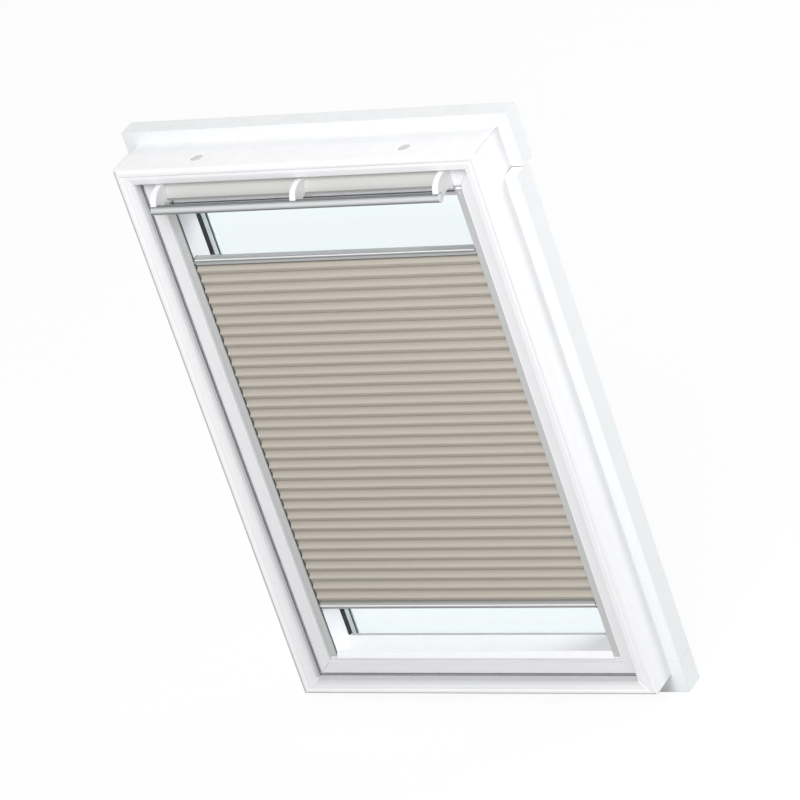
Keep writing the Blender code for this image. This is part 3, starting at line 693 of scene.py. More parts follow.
@dataclass(frozen=True)
class GlassFinish(Finish):
    """Clear float glass with a faint tint and fine smears."""

    tint: Colour
    index: float = 1.22
    smear_scale: float = 55.0
    smear_shade: float = 0.985
    smear_roughness: Pair = (0.0, 0.03)
    shadow: Pair = (0.66, 0.25)

    def inputs(self, graph: Graph, effects: Effects) -> dict[str, object]:
        """Give the shader's inputs.

        Args:
            graph: The material's graph.
            effects: The shared effects.

        Returns:
            Each input's value or socket.
        """
        texture = effects.coat_texture.place(graph, scale=self.smear_scale, specks=0.0)
        smears = graph.math("POWER", texture["Mask"], 3.0)
        smeared = tuple(self.smear_shade * part for part in self.tint)
        return {
            "Base Color": graph.blend(smears, self.tint, smeared),
            "Roughness": graph.span(smears, *self.smear_roughness),
            "Transmission Weight": 1.0,
            "IOR": self.index,
        }

    def material(self, effects: Effects) -> bpy.types.Material:
        """Build the material, which lets a tinted share of the light through to what it shades.

        Args:
            effects: The shared effects.

        Returns:
            The material.
        """
        made = super().material(effects)
        nodes = made.node_tree.nodes
        graph = Graph(made.node_tree, len(nodes))
        base, tinted = self.shadow
        through = graph.add("BsdfTransparent", {"Color": tuple(base + tinted * part for part in self.tint)})
        shadow = graph.add("LightPath").outputs["Is Shadow Ray"]
        surfaces = {0: shadow, 1: nodes["Principled BSDF"].outputs[0], 2: through.outputs[0]}
        graph.feed(nodes["Material Output"].inputs["Surface"], graph.add("MixShader", surfaces).outputs[0])
        return made


@dataclass(frozen=True)
class ClothFinish(Finish):
    """Woven polyester with thread colours, slubs, a soft sheen and painted shade in the necks of the folds.
    """

    light: Colour
    dark: Colour
    valley: Colour
    threads: float = 2600.0
    wobble: float = 0.00012
    slubs: float = 0.45
    clouds: float = 0.2
    cloud_scale: float = 5.0
    sheen: Pair = (0.15, 0.5)
    specular: float = 0.25
    valley_share: float = 0.6
    bump: float = 0.5
    weave_height: float = 0.0001
    roughness: Pair = (0.78, 0.92)

    def inputs(self, graph: Graph, effects: Effects) -> dict[str, object]:
        """Give the shader's inputs.

        Args:
            graph: The material's graph.
            effects: The shared effects.

        Returns:
            Each input's value or socket.
        """
        weave = effects.weave.place(graph, threads=self.threads, wobble=self.wobble)
        tone = graph.blend(weave["Height"], self.dark, self.light)
        tone = graph.blend(graph.math("MULTIPLY", weave["Mask"], self.slubs), tone, self.dark)
        cloud = graph.noise(graph.around(), self.cloud_scale, 4.0)
        tone = graph.blend(graph.math("MULTIPLY", cloud, self.clouds), tone, self.dark)
        # Painted shade: the cloth darkens towards the neck of each fold.
        fold = graph.add("Attribute", attribute_name="fold_depth").outputs["Fac"]
        deep = graph.math("MULTIPLY", graph.math("POWER", fold, 2.0), self.valley_share)
        return {
            "Base Color": graph.blend(deep, tone, self.valley),
            "Roughness": graph.span(weave["Mask"], *self.roughness),
            "Normal": graph.bump(weave["Height"], self.bump, self.weave_height),
            "Sheen Weight": self.sheen[0],
            "Sheen Roughness": self.sheen[1],
            "Specular IOR Level": self.specular,
        }


@dataclass(frozen=True)
class CordFinish(Finish):
    """Thin twisted cord with diagonal strands."""

    colour: Colour
    dark: Colour
    strands: float = 420.0
    twist_wobble: float = 0.4
    grain: float = 2500.0
    worn: float = 0.3
    bump: float = 0.7
    strand_height: float = 0.0002
    roughness: Pair = (0.7, 0.9)

    def inputs(self, graph: Graph, effects: Effects) -> dict[str, object]:
        """Give the shader's inputs.

        Args:
            graph: The material's graph.
            effects: The shared effects.

        Returns:
            Each input's value or socket.
        """
        wave = {"Vector": graph.around(), "Scale": self.strands, "Distortion": self.twist_wobble}
        strands = graph.add("TexWave", wave, bands_direction="DIAGONAL").outputs["Fac"]
        grain = effects.grain.place(graph, scale=self.grain)
        tone = graph.blend(strands, self.dark, self.colour)
        return {
            "Base Color": graph.blend(graph.math("MULTIPLY", grain["Mask"], self.worn), tone, self.dark),
            "Roughness": graph.span(grain["Mask"], *self.roughness),
            "Normal": graph.bump(strands, self.bump, self.strand_height),
        }


ALONG_X = (7.0, 2600.0, 2600.0)
ALONG_Z = (2600.0, 2600.0, 7.0)
ALL_WAYS = (900.0, 900.0, 900.0)

WHITE_COAT = CoatFinish("white_coating", linear(249, 249, 250), linear(245, 245, 247), linear(253, 253, 253))

FINISHES: dict[Slot | Tone, Finish] = {
    Slot.WHITE: WHITE_COAT,
    Slot.FLAP: CoatFinish(
        "flap_white", colour=linear(208, 208, 205), shade=linear(202, 202, 199),
        worn=linear(222, 222, 220), roughness=(0.36, 0.48), peel=700.0,
    ),
    Slot.COVER: CoatFinish(
        "cover_sheet", colour=linear(242, 244, 246), shade=linear(235, 238, 240),
        worn=linear(249, 250, 251), roughness=(0.4, 0.55), peel=1100.0, specks=0.16,
        speck_colour=linear(226, 229, 232), dust=0.4, metallic=0.05,
    ),
    Slot.RAIL: MetalFinish(
        "brushed_aluminium", colour=linear(206, 208, 207), shade=linear(184, 186, 185), across=ALONG_Z,
        metallic=0.25, roughness=(0.4, 0.55),
    ),
    # The control bar: a painted highlight band along its front, with painted shade above and below.
    Slot.BAR: MetalFinish(
        "bar_aluminium", colour=linear(221, 221, 221), shade=linear(207, 208, 209), across=ALONG_X,
        metallic=0.35, roughness=(0.2, 0.32), bright_side=(0.0, -0.927, 0.375),
        dark_side=linear(122, 125, 127),
    ),
    Slot.STEEL: MetalFinish(
        "satin_steel", colour=linear(221, 223, 225), shade=linear(190, 193, 196), across=ALL_WAYS,
        metallic=1.0,
    ),
    Slot.PLASTIC: MouldedFinish("dark_plastic", colour=linear(72, 73, 75), scuffed=linear(104, 105, 106)),
    Slot.RUBBER: MouldedFinish(
        "black_rubber", colour=linear(26, 27, 29), scuffed=linear(58, 59, 61), roughness=(0.55, 0.8),
        grain=2300.0,
    ),
    Slot.SPACER: MouldedFinish(
        "spacer_grey", colour=linear(172, 174, 178), scuffed=linear(190, 192, 196), roughness=(0.35, 0.5),
        metallic=0.1, dust=0.05,
    ),
    Slot.GLASS: GlassFinish("window_glass", tint=(0.955, 0.99, 1.0)),
    Slot.CLOTH: ClothFinish(
        "pleated_cloth", light=linear(202, 195, 185), dark=linear(185, 177, 166),
        valley=linear(140, 131, 121),
    ),
    Slot.CORD: CordFinish("cord_grey", colour=linear(196, 196, 194), dark=linear(128, 128, 126)),
    # The sash's copy of the white coat, painted darker than the frame's: painted shade for the sash's recess.
    Tone.SASH: CoatFinish(
        "sash_coating_painted_shade", colour=linear(237, 237, 239), shade=linear(232, 232, 235),
        worn=linear(250, 250, 251),
    ),
    Tone.BLIND_BAR: MetalFinish(
        "blind_bar_aluminium", colour=linear(186, 187, 186), shade=linear(167, 169, 168), across=ALONG_X,
        metallic=0.3, roughness=(0.3, 0.42),
    ),
    # The flap's lip: metal darker than the flap, painted shade where the flap turns under.
    Tone.FLAP_EDGE: MetalFinish(
        "flap_lip_aluminium_painted_shade", colour=linear(172, 172, 171), shade=linear(150, 151, 150), across=ALONG_X,
        metallic=0.3, roughness=(0.3, 0.45),
    ),
    # The inner wall's gasket: a grey that is partly its own colour, partly painted shade near the gap.
    Tone.GASKET: MouldedFinish(
        "frame_gasket_grey_and_painted_shade", colour=linear(196, 196, 199), scuffed=linear(208, 208, 210),
        roughness=(0.5, 0.7), dust=0.1,
    ),
}

# Sash nodes take the darker sash coat, a painted shade; frame nodes take the white coat with the painted rim
# shade.
NODE_LOOKS = (
    ("frame_screw_plug", None, Slot.FLAP),
    ("sash_", Slot.WHITE, Tone.SASH),
    ("frame_", Slot.WHITE, Tone.FRAME),
    ("blind_", Slot.RAIL, Tone.BLIND_BAR),
)


@dataclass(frozen=True)
class Place:
    """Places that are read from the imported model."""

    left: float
    right: float
    top: float
    room: float
    opening: float
    opening_low: float
    sash_face: float
    reveal: float
    sill: float
    head: float
    ledge: float
    glass_front: float

    @classmethod
    def read(cls) -> "Place":
        """Read the places of the frame, the sash and the glass.

        Returns:
            The places.
        """
        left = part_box("frame_left_member")[0]
        right_low, right_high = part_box("frame_right_member")
        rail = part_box("guide_rail_left")[1]
        return cls(
            left=left.x,
            right=right_high.x,
            top=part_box("frame_top_member")[1].z,
            room=left.y,
            opening=right_low.x,
            opening_low=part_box("frame_bottom_member")[1].z,
            sash_face=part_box("sash_left_stile")[0].y,
            reveal=-rail.x,
            sill=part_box("rail_stop_left_lower")[0].z,
            head=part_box("rail_stop_left_upper")[1].z,
            ledge=rail.y,
            glass_front=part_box("inner_glazing_gasket")[0].y,
        )

    @property
    def inner(self) -> float:
        """The inset of the frame's inner walls."""
        return self.right - self.opening

    @property
    def low_share(self) -> float:
        """The height of the bottom member as a share of the side members' width."""
        return self.opening_low / self.inner

    @property
    def corners(self) -> tuple[Vector, Vector]:
        """The lowest and the highest corner of the frame."""
        return Vector((self.left, 0.0, 0.0)), Vector((self.right, 0.0, self.top))


@dataclass
class Looks:
    """The materials of every slot and of the pieces that differ."""

    material: dict[Slot | Tone, bpy.types.Material] = field(default_factory=dict)
    # Strength of the painted shadow line along the ridge's outer edge.
    ridge_shadow_line: float = 0.58

    def build(self, place: Place) -> None:
        """Build each finish.

        Args:
            place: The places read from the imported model.
        """
        effects = Effects.build()
        # The frame's coat takes the painted rim shade, and the ridge's coat also takes the painted shadow
        # line.
        rim = PaintedRimShade(place.right, place.top, place.low_share)
        ridge = replace(rim, edge_strength=self.ridge_shadow_line)
        rims = {
            Tone.FRAME: replace(WHITE_COAT, name="frame_white_painted_shade", rim=rim),
            Tone.RIDGE: replace(WHITE_COAT, name="ridge_white_painted_shade", rim=ridge),
        }
        for key, finish in (FINISHES | rims).items():
            self.material[key] = finish.material(effects)

    def dress_nodes(self) -> None:
        """Give each carried-over node the finish of its slot, or its own where NODE_LOOKS has one."""
        for name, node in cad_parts.items():
            slot = Slot(node.data.materials[0].name.split(".")[0])
            key = slot
            for prefix, usual, own in reversed(NODE_LOOKS):
                if name.startswith(prefix) and usual in (None, slot):
                    key = own
            node.data.materials.clear()
            node.data.materials.append(self.material[key])
            log.info("node %s: %s", name, self.material[key].name)


class Shape:
    """A mesh under construction, in the place that it keeps."""

    def __init__(self, name: str) -> None:
        """Start an empty mesh."""
        self.name = name
        self.mesh = bmesh.new()

    def bridge(self, rows: Sequence[Sequence[bmesh.types.BMVert]]) -> None:
        """Join each closed row of points with the next one by faces.

        Args:
            rows: The points of each row.
        """
        for near, far in zip(rows, rows[1:]):
            for i in range(len(near)):
                j = (i + 1) % len(near)
                self.mesh.faces.new((near[i], far[i], far[j], near[j]))

    def loft(self, loops: Sequence[Sequence[Point]]) -> "Shape":
        """Skin a row of closed loops and cap both ends.

        Args:
            loops: The points of each loop, all the same way round.

        Returns:
            This shape.
        """
        rows = [[self.mesh.verts.new(point) for point in loop] for loop in loops]
        self.bridge(rows)
        self.mesh.faces.new(rows[0])
        self.mesh.faces.new(rows[-1][::-1])
        return self

    def box(self, low: Point, high: Point) -> "Shape":
        """Add a box between its lowest and its highest corner."""
        flat = [(low[0], low[1]), (high[0], low[1]), (high[0], high[1]), (low[0], high[1])]
        return self.loft([[(x, y, z) for x, y in flat] for z in (low[2], high[2])])

    def ring(self, section: Sequence[Pair], low: Vector, high: Vector, low_share: float = 1.0) -> "Shape":
        """Run a section round a box, with mitred corners.

        Args:
            section: The section's points of (inset, Y).
            low: The box's lowest corner.
            high: The box's highest corner.
            low_share: The insets along the bottom, as a share of the others.

        Returns:
            This shape.
        """
        corners = (
            (low.x, 1.0, low.z, low_share),
            (low.x, 1.0, high.z, -1.0),
            (high.x, -1.0, high.z, -1.0),
            (high.x, -1.0, low.z, low_share),
        )
        rows = []
        for x, x_way, z, z_way in corners:
            loop = [(x + x_way * inset, y, z + z_way * inset) for inset, y in section]
            rows.append([self.mesh.verts.new(point) for point in loop])
        self.bridge(rows + rows[:1])
        return self

    def tube(self, path: Sequence[Point], radius: float, sides: int = BEAD_SIDES) -> "Shape":
        """Run a round bead along a path.

        Args:
            path: The points of the bead's middle.
            radius: The bead's radius.
            sides: How many sides it has round.

        Returns:
            This shape.
        """
        points = [Vector(point) for point in path]
        turns = [math.tau * k / sides for k in range(sides)]
        loops = []
        right = (points[1] - points[0]).normalized().orthogonal()
        for i, point in enumerate(points):
            ahead = (points[min(i + 1, len(points) - 1)] - points[max(i - 1, 0)]).normalized()
            right = (right - right.dot(ahead) * ahead).normalized()
            up = right.cross(ahead)
            loops.append([tuple(point + radius * (math.cos(a) * right + math.sin(a) * up)) for a in turns])
        return self.loft(loops)

    def lathe(
        self, profile: Sequence[Pair], place: Matrix, reach: Callable[[int, float], float] | None = None
    ) -> "Shape":
        """Turn a profile round the Z of a place.

        Args:
            profile: Points of (radius, height).
            place: Where the profile stands.
            reach: The share of the radius that a ring takes at an angle, if not all of it.

        Returns:
            This shape.
        """
        loops = []
        for ring, (radius, height) in enumerate(profile):
            loop = []
            for k in range(ROUND_SIDES):
                a = math.tau * k / ROUND_SIDES
                r = radius * reach(ring, a) if reach else radius
                loop.append(tuple(place @ Vector((r * math.cos(a), r * math.sin(a), height))))
            loops.append(loop)
        return self.loft(loops)

    def done(
        self,
        slot: Slot,
        looks: Looks,
        body: Body | None,
        tone: Tone | None = None,
        angle: float | None = SMOOTH_ANGLE,
    ) -> bpy.types.Object:
        """Make the object.

        Args:
            slot: The slot whose material it takes.
            looks: The materials.
            body: The body that it moves with, if it is given one here.
            tone: Its own finish, if it isn't that of the slot.
            angle: The angle from which an edge stays sharp, or None for flat faces.

        Returns:
            The finished piece.
        """
        bmesh.ops.recalc_face_normals(self.mesh, faces=self.mesh.faces)
        data = bpy.data.meshes.new(self.name)
        self.mesh.to_mesh(data)
        self.mesh.free()
        data.materials.append(looks.material[tone or slot])
        if angle is not None:
            data.shade_smooth()
            data.set_sharp_from_angle(angle=angle)
        made = bpy.data.objects.new(self.name, data)
        bpy.context.scene.collection.objects.link(made)
        if body is not None:
            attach(made, body.value)
        log.info("piece %s: %d faces", self.name, len(data.polygons))
        return made


@dataclass
class PleatedCloth:
    """The blind's cloth: a row of folded cells, each a closed loop of thin woven cloth."""

    looks: Looks
    cells: int = 33
    thickness: float = 0.00026
    reach: float = 0.0084
    neck: float = 0.0011
    fold_radius: float = 0.0009
    flatness: float = 0.4
    columns: int = 40
    facet_steps: int = 5
    fold_steps: int = 3
    sag: float = 0.00045
    unevenness: float = 0.00022
    waves: Pair = (1.5, 3.5)
    first_seed: int = 1000
    half_width: float = field(init=False)
    low: float = field(init=False)
    pitch: float = field(init=False)
    middle_y: float = field(init=False)

    def __post_init__(self) -> None:
        """Take the cloth's place from the solid that it stands for."""
        low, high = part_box("pleated_fabric")
        self.half_width = high.x
        self.low = low.z
        self.pitch = (high.z - low.z) / self.cells
        self.middle_y = (low.y + high.y) / 2

    def build(self) -> None:
        """Build every cell."""
        for index in range(self.cells):
            self.build_cell(index)

    def outline(self) -> list[Point]:
        """Outline a cell: up its room side from neck to neck, and down its other side.

        Returns:
            Points of (depth, height, fold), where fold is 1 in a neck and 0 on a ridge.
        """
        straight = self.reach - self.fold_radius * self.flatness
        rise = self.pitch / 2 - self.fold_radius
        lower, upper = [], []
        for i in range(self.facet_steps + 1):
            share = i / self.facet_steps
            bow = self.sag * math.sin(math.pi * share)
            reach = self.neck + (straight - self.neck) * share
            lower.append((reach + bow * self.flatness, rise * share - bow, 1 - share))
            upper.append((reach - bow * self.flatness, self.pitch - rise * share - bow, 1 - share))
        turn = []
        for i in range(1, self.fold_steps):
            angle = math.pi * (i / self.fold_steps - 0.5)
            reach = straight + self.flatness * self.fold_radius * math.cos(angle)
            turn.append((reach, self.pitch / 2 + self.fold_radius * math.sin(angle), 0.0))
        half = lower + turn + upper[::-1]
        near = [(-reach, height, fold) for reach, height, fold in half]
        return near + half[::-1]

    def offset(self, ring: Sequence[Point], inwards: float) -> list[Pair]:
        """Move a closed outline inwards.

        Args:
            ring: The outline's points of (depth, height, fold).
            inwards: The distance.

        Returns:
            The moved points of (depth, height).
        """
        moved = []
        for i, (y, z, _) in enumerate(ring):
            before, after = ring[i - 1], ring[(i + 1) % len(ring)]
            along = Vector((after[0] - before[0], after[1] - before[1])).normalized()
            moved.append((y + along.y * inwards, z - along.x * inwards))
        return moved

    def build_cell(self, index: int) -> None:
        """Args:
            index: The cell's number from the bottom.
        """
        ring = self.outline()
        lengths = [0.0]
        for here, there in zip(ring, ring[1:] + ring[:1]):
            lengths.append(lengths[-1] + math.dist(here[:2], there[:2]))
        shape = Shape(f"pleat_cell_{index + 1:02d}")
        shape.mesh.verts.layers.float.new("fold_depth")
        shape.mesh.loops.layers.uv.new("flat")
        self.skin(shape, self.set_points(shape, ring, index), lengths)
        cell = shape.done(Slot.CLOTH, self.looks, None, angle=CLOTH_ANGLE)
        self.hang(cell, index)
        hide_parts("pleated_fabric")

    def set_points(self, shape: Shape, ring: Sequence[Point], index: int) -> list:
        """Set the points of the cloth's outer and inner face, a little uneven along the cell.

        Args:
            shape: The mesh to add to.
            ring: The cell's outline.
            index: The cell's number from the bottom.

        Returns:
            The points, by face, column and place in the outline.
        """
        seed = random.Random(self.first_seed + index)
        phase = seed.uniform(0, math.tau)
        waves = seed.uniform(*self.waves)
        base = self.low + index * self.pitch
        depth_layer = shape.mesh.verts.layers.float["fold_depth"]
        grids = []
        for inwards in (0.0, self.thickness):
            line = self.offset(ring, inwards)
            grid = []
            for column in range(self.columns + 1):
                share = column / self.columns
                x = self.half_width * (2 * share - 1)
                wave = math.sin(waves * math.tau * share + phase)
                row = []
                for (y, z), (_, _, fold) in zip(line, ring):
                    swing = self.unevenness * wave * (1 - fold)
                    deep = self.middle_y + y + math.copysign(swing, y) * wave
                    vert = shape.mesh.verts.new((x, deep, base + z + swing))
                    # Each point keeps its fold value, from which the cloth's finish paints shade in the
                    # necks.
                    vert[depth_layer] = fold
                    row.append(vert)
                grid.append(row)
            grids.append(grid)
        return grids

    def skin(self, shape: Shape, grids: list, lengths: Sequence[float]) -> None:
        """Join the points by faces, and lay the cloth out flat in metres.

        Args:
            shape: The mesh to add to.
            grids: The points of the outer and the inner face.
            lengths: The way round the outline to each of its points.
        """
        uv_layer = shape.mesh.loops.layers.uv["flat"]
        across = 2 * self.half_width / self.columns
        count = len(grids[0][0])

        def add_face(corners: Sequence[bmesh.types.BMVert], spots: Sequence[tuple[int, int]]) -> None:
            """Add one face, with the column and the outline's step of each corner."""
            for loop, (column, step) in zip(shape.mesh.faces.new(corners).loops, spots):
                loop[uv_layer].uv = (column * across, lengths[step])

        for grid in grids:
            for c in range(self.columns):
                for i in range(count):
                    j = (i + 1) % count
                    corners = (grid[c][i], grid[c + 1][i], grid[c + 1][j], grid[c][j])
                    add_face(corners, ((c, i), (c + 1, i), (c + 1, i + 1), (c, i + 1)))
        outer, inner = grids
        for c in (0, self.columns):
            for i in range(count):
                j = (i + 1) % count
                corners = (outer[c][i], outer[c][j], inner[c][j], inner[c][i])
                add_face(corners, ((0, i), (0, i + 1), (0, i + 1), (0, i)))

    def hang(self, cell: bpy.types.Object, index: int) -> None:
        """Fix the middle cell to the sash, and stretch the others evenly with the nearer bar.

        A blend eases in and out, so its ends are set where the easing has reached the shares of
        the bar's travel that the cell's own two ends take.

        Args:
            cell: The cell.
            index: Its number from the bottom.
        """
        middle = self.cells // 2
        if index == middle:
            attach(cell, Body.SASH.value)
            return
        base = self.low + index * self.pitch
        steps = abs(index - middle)
        body, ends = Body.BLIND_TOP, (base, base + self.pitch)
        if index < middle:
            body, ends = Body.BLIND_BOTTOM, ends[::-1]
        first, last = (0.5 - math.sin(math.asin(1 - 2 * n / middle) / 3) for n in (steps - 1, steps))
        slope = (ends[1] - ends[0]) / (last - first)
        start = ends[0] - first * slope
        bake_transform(cell, Body.SASH.value, body.value, start=(0, 0, start), end=(0, 0, start + slope))


@dataclass(frozen=True)
class Screw:
    """A small screw with a domed head and a recess."""

    radius: float
    height: float
    recess: float
    drive: Drive = Drive.CROSS
    foot: Pair = (0.96, -0.0003)
    dome: tuple[Pair, ...] = ((1.0, 0.12), (0.97, 0.42), (0.84, 0.74), (0.66, 0.92))
    well: float = 0.46
    well_edge: tuple[Pair, ...] = ((1.12, 0.0), (1.0, 0.0001))
    well_floor: Pair = (0.9, 0.35)
    cross: Pair = (0.5, 0.6)
    slit: Pair = (0.3, 0.9)

    def build(self, name: str, place: Matrix, slot: Slot, looks: Looks, body: Body) -> None:
        """Build the screw.

        Args:
            name: The piece's name.
            place: Where its seat is, with Z out of the surface.
            slot: Its finish.
            looks: The materials.
            body: The body that it moves with.
        """
        well = self.well * self.radius
        profile = [(self.radius * self.foot[0], self.foot[1])]
        profile += [(self.radius * width, self.height * rise) for width, rise in self.dome]
        head = len(profile)
        profile += [(well * width, self.height - drop) for width, drop in self.well_edge]
        profile += [(well * width, self.height - self.recess) for width in self.well_floor]
        shape = Shape(name)
        shape.lathe(profile, place, lambda ring, angle: self.recess_reach(angle) if ring >= head else 1.0)
        shape.done(slot, looks, body)

    def recess_reach(self, angle: float) -> float:
        """Work out how far the recess reaches.

        Args:
            angle: The angle round the screw.

        Returns:
            The reach as a share of the well's radius.
        """
        if self.drive is Drive.HEX:
            return math.cos(math.pi / 6) / math.cos(math.remainder(angle, math.tau / 6))
        if self.drive is Drive.CROSS:
            return self.cross[0] + self.cross[1] * abs(math.cos(2 * angle)) ** 3
        return self.slit[0] + self.slit[1] * abs(math.cos(angle)) ** 6


def facing(point: Point, direction: Point) -> Matrix:
    """A place at a point whose Z looks along a direction."""
    turn = Vector(direction).to_track_quat("Z", "Y").to_matrix().to_4x4()
    return Matrix.Translation(point) @ turn


def level(low: Vector, high: Vector, short: float, y: float, z: float) -> list[Point]:
    """A straight path along X through a box, which stops short of both its ends."""
    return [(low.x + short, y, z), (high.x - short, y, z)]


def upright(low: Vector, high: Vector, short: float, x: float, y: float) -> list[Point]:
    """A straight path along Z through a box, which stops short of both its ends."""
    return [(x, y, low.z + short), (x, y, high.z - short)]


def both(pattern: str) -> list[tuple[str, int, Vector, Vector]]:
    """The left and the right node of a pair: each one's side, sign, lowest and highest corner."""
    return [(side, sign, *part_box(pattern.format(side))) for side, sign in SIDES]


@dataclass
class Trim:
    """The small fittings of one sub-assembly."""

    place: Place
    looks: Looks
    body: Body = Body.FRAME

    def add(self, shape: Shape, slot: Slot, **settings: object) -> bpy.types.Object:
        """Finish a shape that rides on the sub-assembly's body."""
        return shape.done(slot, self.looks, self.body, **settings)

    def bead(
        self,
        name: str,
        path: Sequence[Point],
        radius: float,
        slot: Slot,
        sides: int = BEAD_SIDES,
        **settings: object,
    ) -> None:
        """Add a round bead along a path."""
        self.add(Shape(name).tube(path, radius, sides), slot, **settings)

    def seat(
        self,
        kind: Screw,
        name: str,
        point: Point,
        way: Point,
        slot: Slot = Slot.STEEL,
        body: Body | None = None,
    ) -> None:
        """Seat a screw at a point of a face that looks one way."""
        kind.build(name, facing(point, way), slot, self.looks, body or self.body)

    def end_screws(self, kind: Screw, name: str, node: str, way: Point, edge: float) -> None:
        """Seat a screw near each end of a node's face, low and high, or left and right if it lies flat.

        Args:
            kind: The screw.
            name: The start of both screws' names.
            node: The node.
            way: The way that the face looks.
            edge: The screws' distance from the node's ends.
        """
        low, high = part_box(node)
        axis, ends = (0, ("left", "right")) if way[2] else (2, ("low", "high"))
        point = [(first + last) / 2 for first, last in zip(low, high)]
        for i, part in enumerate(way):
            if part:
                point[i] = high[i] if part > 0 else low[i]
        for end, spot in zip(ends, (low[axis] + edge, high[axis] - edge)):
            point[axis] = spot
            self.seat(kind, f"{name}_{end}", tuple(point), way)


@dataclass
class FrameTrim(Trim):
    """Fittings of the fixed frame: the rim's ridge, a gasket and a seal whose grey and dark are partly
    painted shade near the gap, corner beads and screws.
    """

    ridge_from: float = 0.0012
    ridge_peak: float = 0.0078
    ridge_to: float = 0.0148
    ridge_rise: float = 0.0027
    ridge_sink: float = 0.0002
    ridge_steps: int = 6
    root_inset: float = 0.001
    root_depths: Pair = (0.0014, 0.0024)
    edge_depth: float = 0.0013
    gasket_depth: float = 0.0125
    gasket_rise: float = 0.0008
    gasket_shoulder: float = 0.4
    gasket_root: float = 0.0006
    gasket_slope: float = 0.0026
    seal_radius: float = 0.0010
    seal_sides: int = 8
    seal_drop: float = 1.1
    bead_radius: float = 0.0011
    bead_gap: float = 0.0005
    bead_wall: tuple[Pair, ...] = ((0.0, 0.012), (0.0, 0.0062), (-0.0014, 0.0037), (-0.0040, 0.0026))
    bead_face: tuple[Pair, ...] = ((0.024, 0.0009), (0.020, 0.0002), (0.0142, 0.0001))
    bearing_screw: Screw = Screw(0.0034, 0.0003, recess=0.0008)
    bearing_edge: float = 0.009
    striker_screw: Screw = Screw(0.0036, 0.0004, recess=0.0009)
    striker_edge: float = 0.010

    def build(self) -> None:
        """Build the ridge, the gasket with its seal, the beads and the screws."""
        self.build_ridge()
        self.build_gasket()
        self.build_corner_beads()
        self.build_screws()

    def build_ridge(self) -> None:
        """Build the ridge along the outer part of the rim: steep outside, easing into the rim's face."""
        room = self.place.room
        inner_root, outer_root = self.root_depths
        section = [(self.ridge_to - self.root_inset, room + inner_root)]
        section.append((self.ridge_from + self.root_inset, room + outer_root))
        shares = [i / self.ridge_steps for i in range(self.ridge_steps + 1)]
        for share in shares:
            inset = self.ridge_from + (self.ridge_peak - self.ridge_from) * share
            rise = (self.ridge_rise + self.edge_depth) * math.sin(math.pi / 2 * share)
            section.append((inset, room + self.edge_depth - rise))
        for share in shares[1:]:
            inset = self.ridge_peak + (self.ridge_to - self.ridge_peak) * share
            rise = (self.ridge_rise + self.ridge_sink) * math.cos(math.pi / 2 * share)
            section.append((inset, room + self.ridge_sink - rise))
        shape = Shape("rim_ridge").ring(section, *self.place.corners, self.place.low_share)
        # The ridge's coat carries the painted rim shade and its painted shadow line.
        self.add(shape, Slot.WHITE, tone=Tone.RIDGE)

    def build_gasket(self) -> None:
        """Build the grey gasket on the inner wall, and the dark seal in the gap to the sash. Both are real
        parts whose colours also paint the shade that falls near the gap.
        """
        place = self.place
        near = place.room + self.gasket_depth
        far = place.sash_face - self.gasket_root
        root = place.inner - self.gasket_root
        crest = place.inner + self.gasket_rise
        section = [
            (root, near),
            (place.inner + self.gasket_rise * self.gasket_shoulder, near + self.gasket_root),
            (crest, near + self.gasket_slope),
            (crest, far),
            (root, far),
        ]
        shape = Shape("frame_inner_gasket").ring(section, *place.corners, place.low_share)
        self.add(shape, Slot.SPACER, tone=Tone.GASKET)
        section = []
        for i in range(self.seal_sides):
            turn = math.tau * i / self.seal_sides
            depth = far - self.seal_radius * (self.seal_drop - math.sin(turn))
            section.append((crest + self.seal_radius * math.cos(turn), depth))
        shape = Shape("frame_gap_seal").ring(section, *place.corners, place.low_share)
        self.add(shape, Slot.PLASTIC)

    def build_corner_beads(self) -> None:
        """Build beads of paint along the mitres of the four corners."""
        place = self.place
        line = [(place.inner, place.sash_face - place.room - self.bead_gap)]
        line += [(place.inner + step, depth) for step, depth in self.bead_wall]
        line += self.bead_face
        for side, sign in SIDES:
            for end in ("low", "high"):
                path = []
                for inset, depth in line:
                    z = inset * place.low_share if end == "low" else place.top - inset
                    path.append((sign * (place.right - inset), place.room + depth, z))
                self.bead(f"frame_corner_bead_{side}_{end}", path, self.bead_radius, Slot.WHITE)

    def build_screws(self) -> None:
        """Build two screws in each pivot bearing and two in the striker plate."""
        for side, sign in SIDES:
            name, node = f"bearing_screw_{side}", f"pivot_bearing_{side}"
            self.end_screws(self.bearing_screw, name, node, (-sign, 0, 0), self.bearing_edge)
        self.end_screws(self.striker_screw, "striker_screw", "striker_plate", DOWNWARD, self.striker_edge)


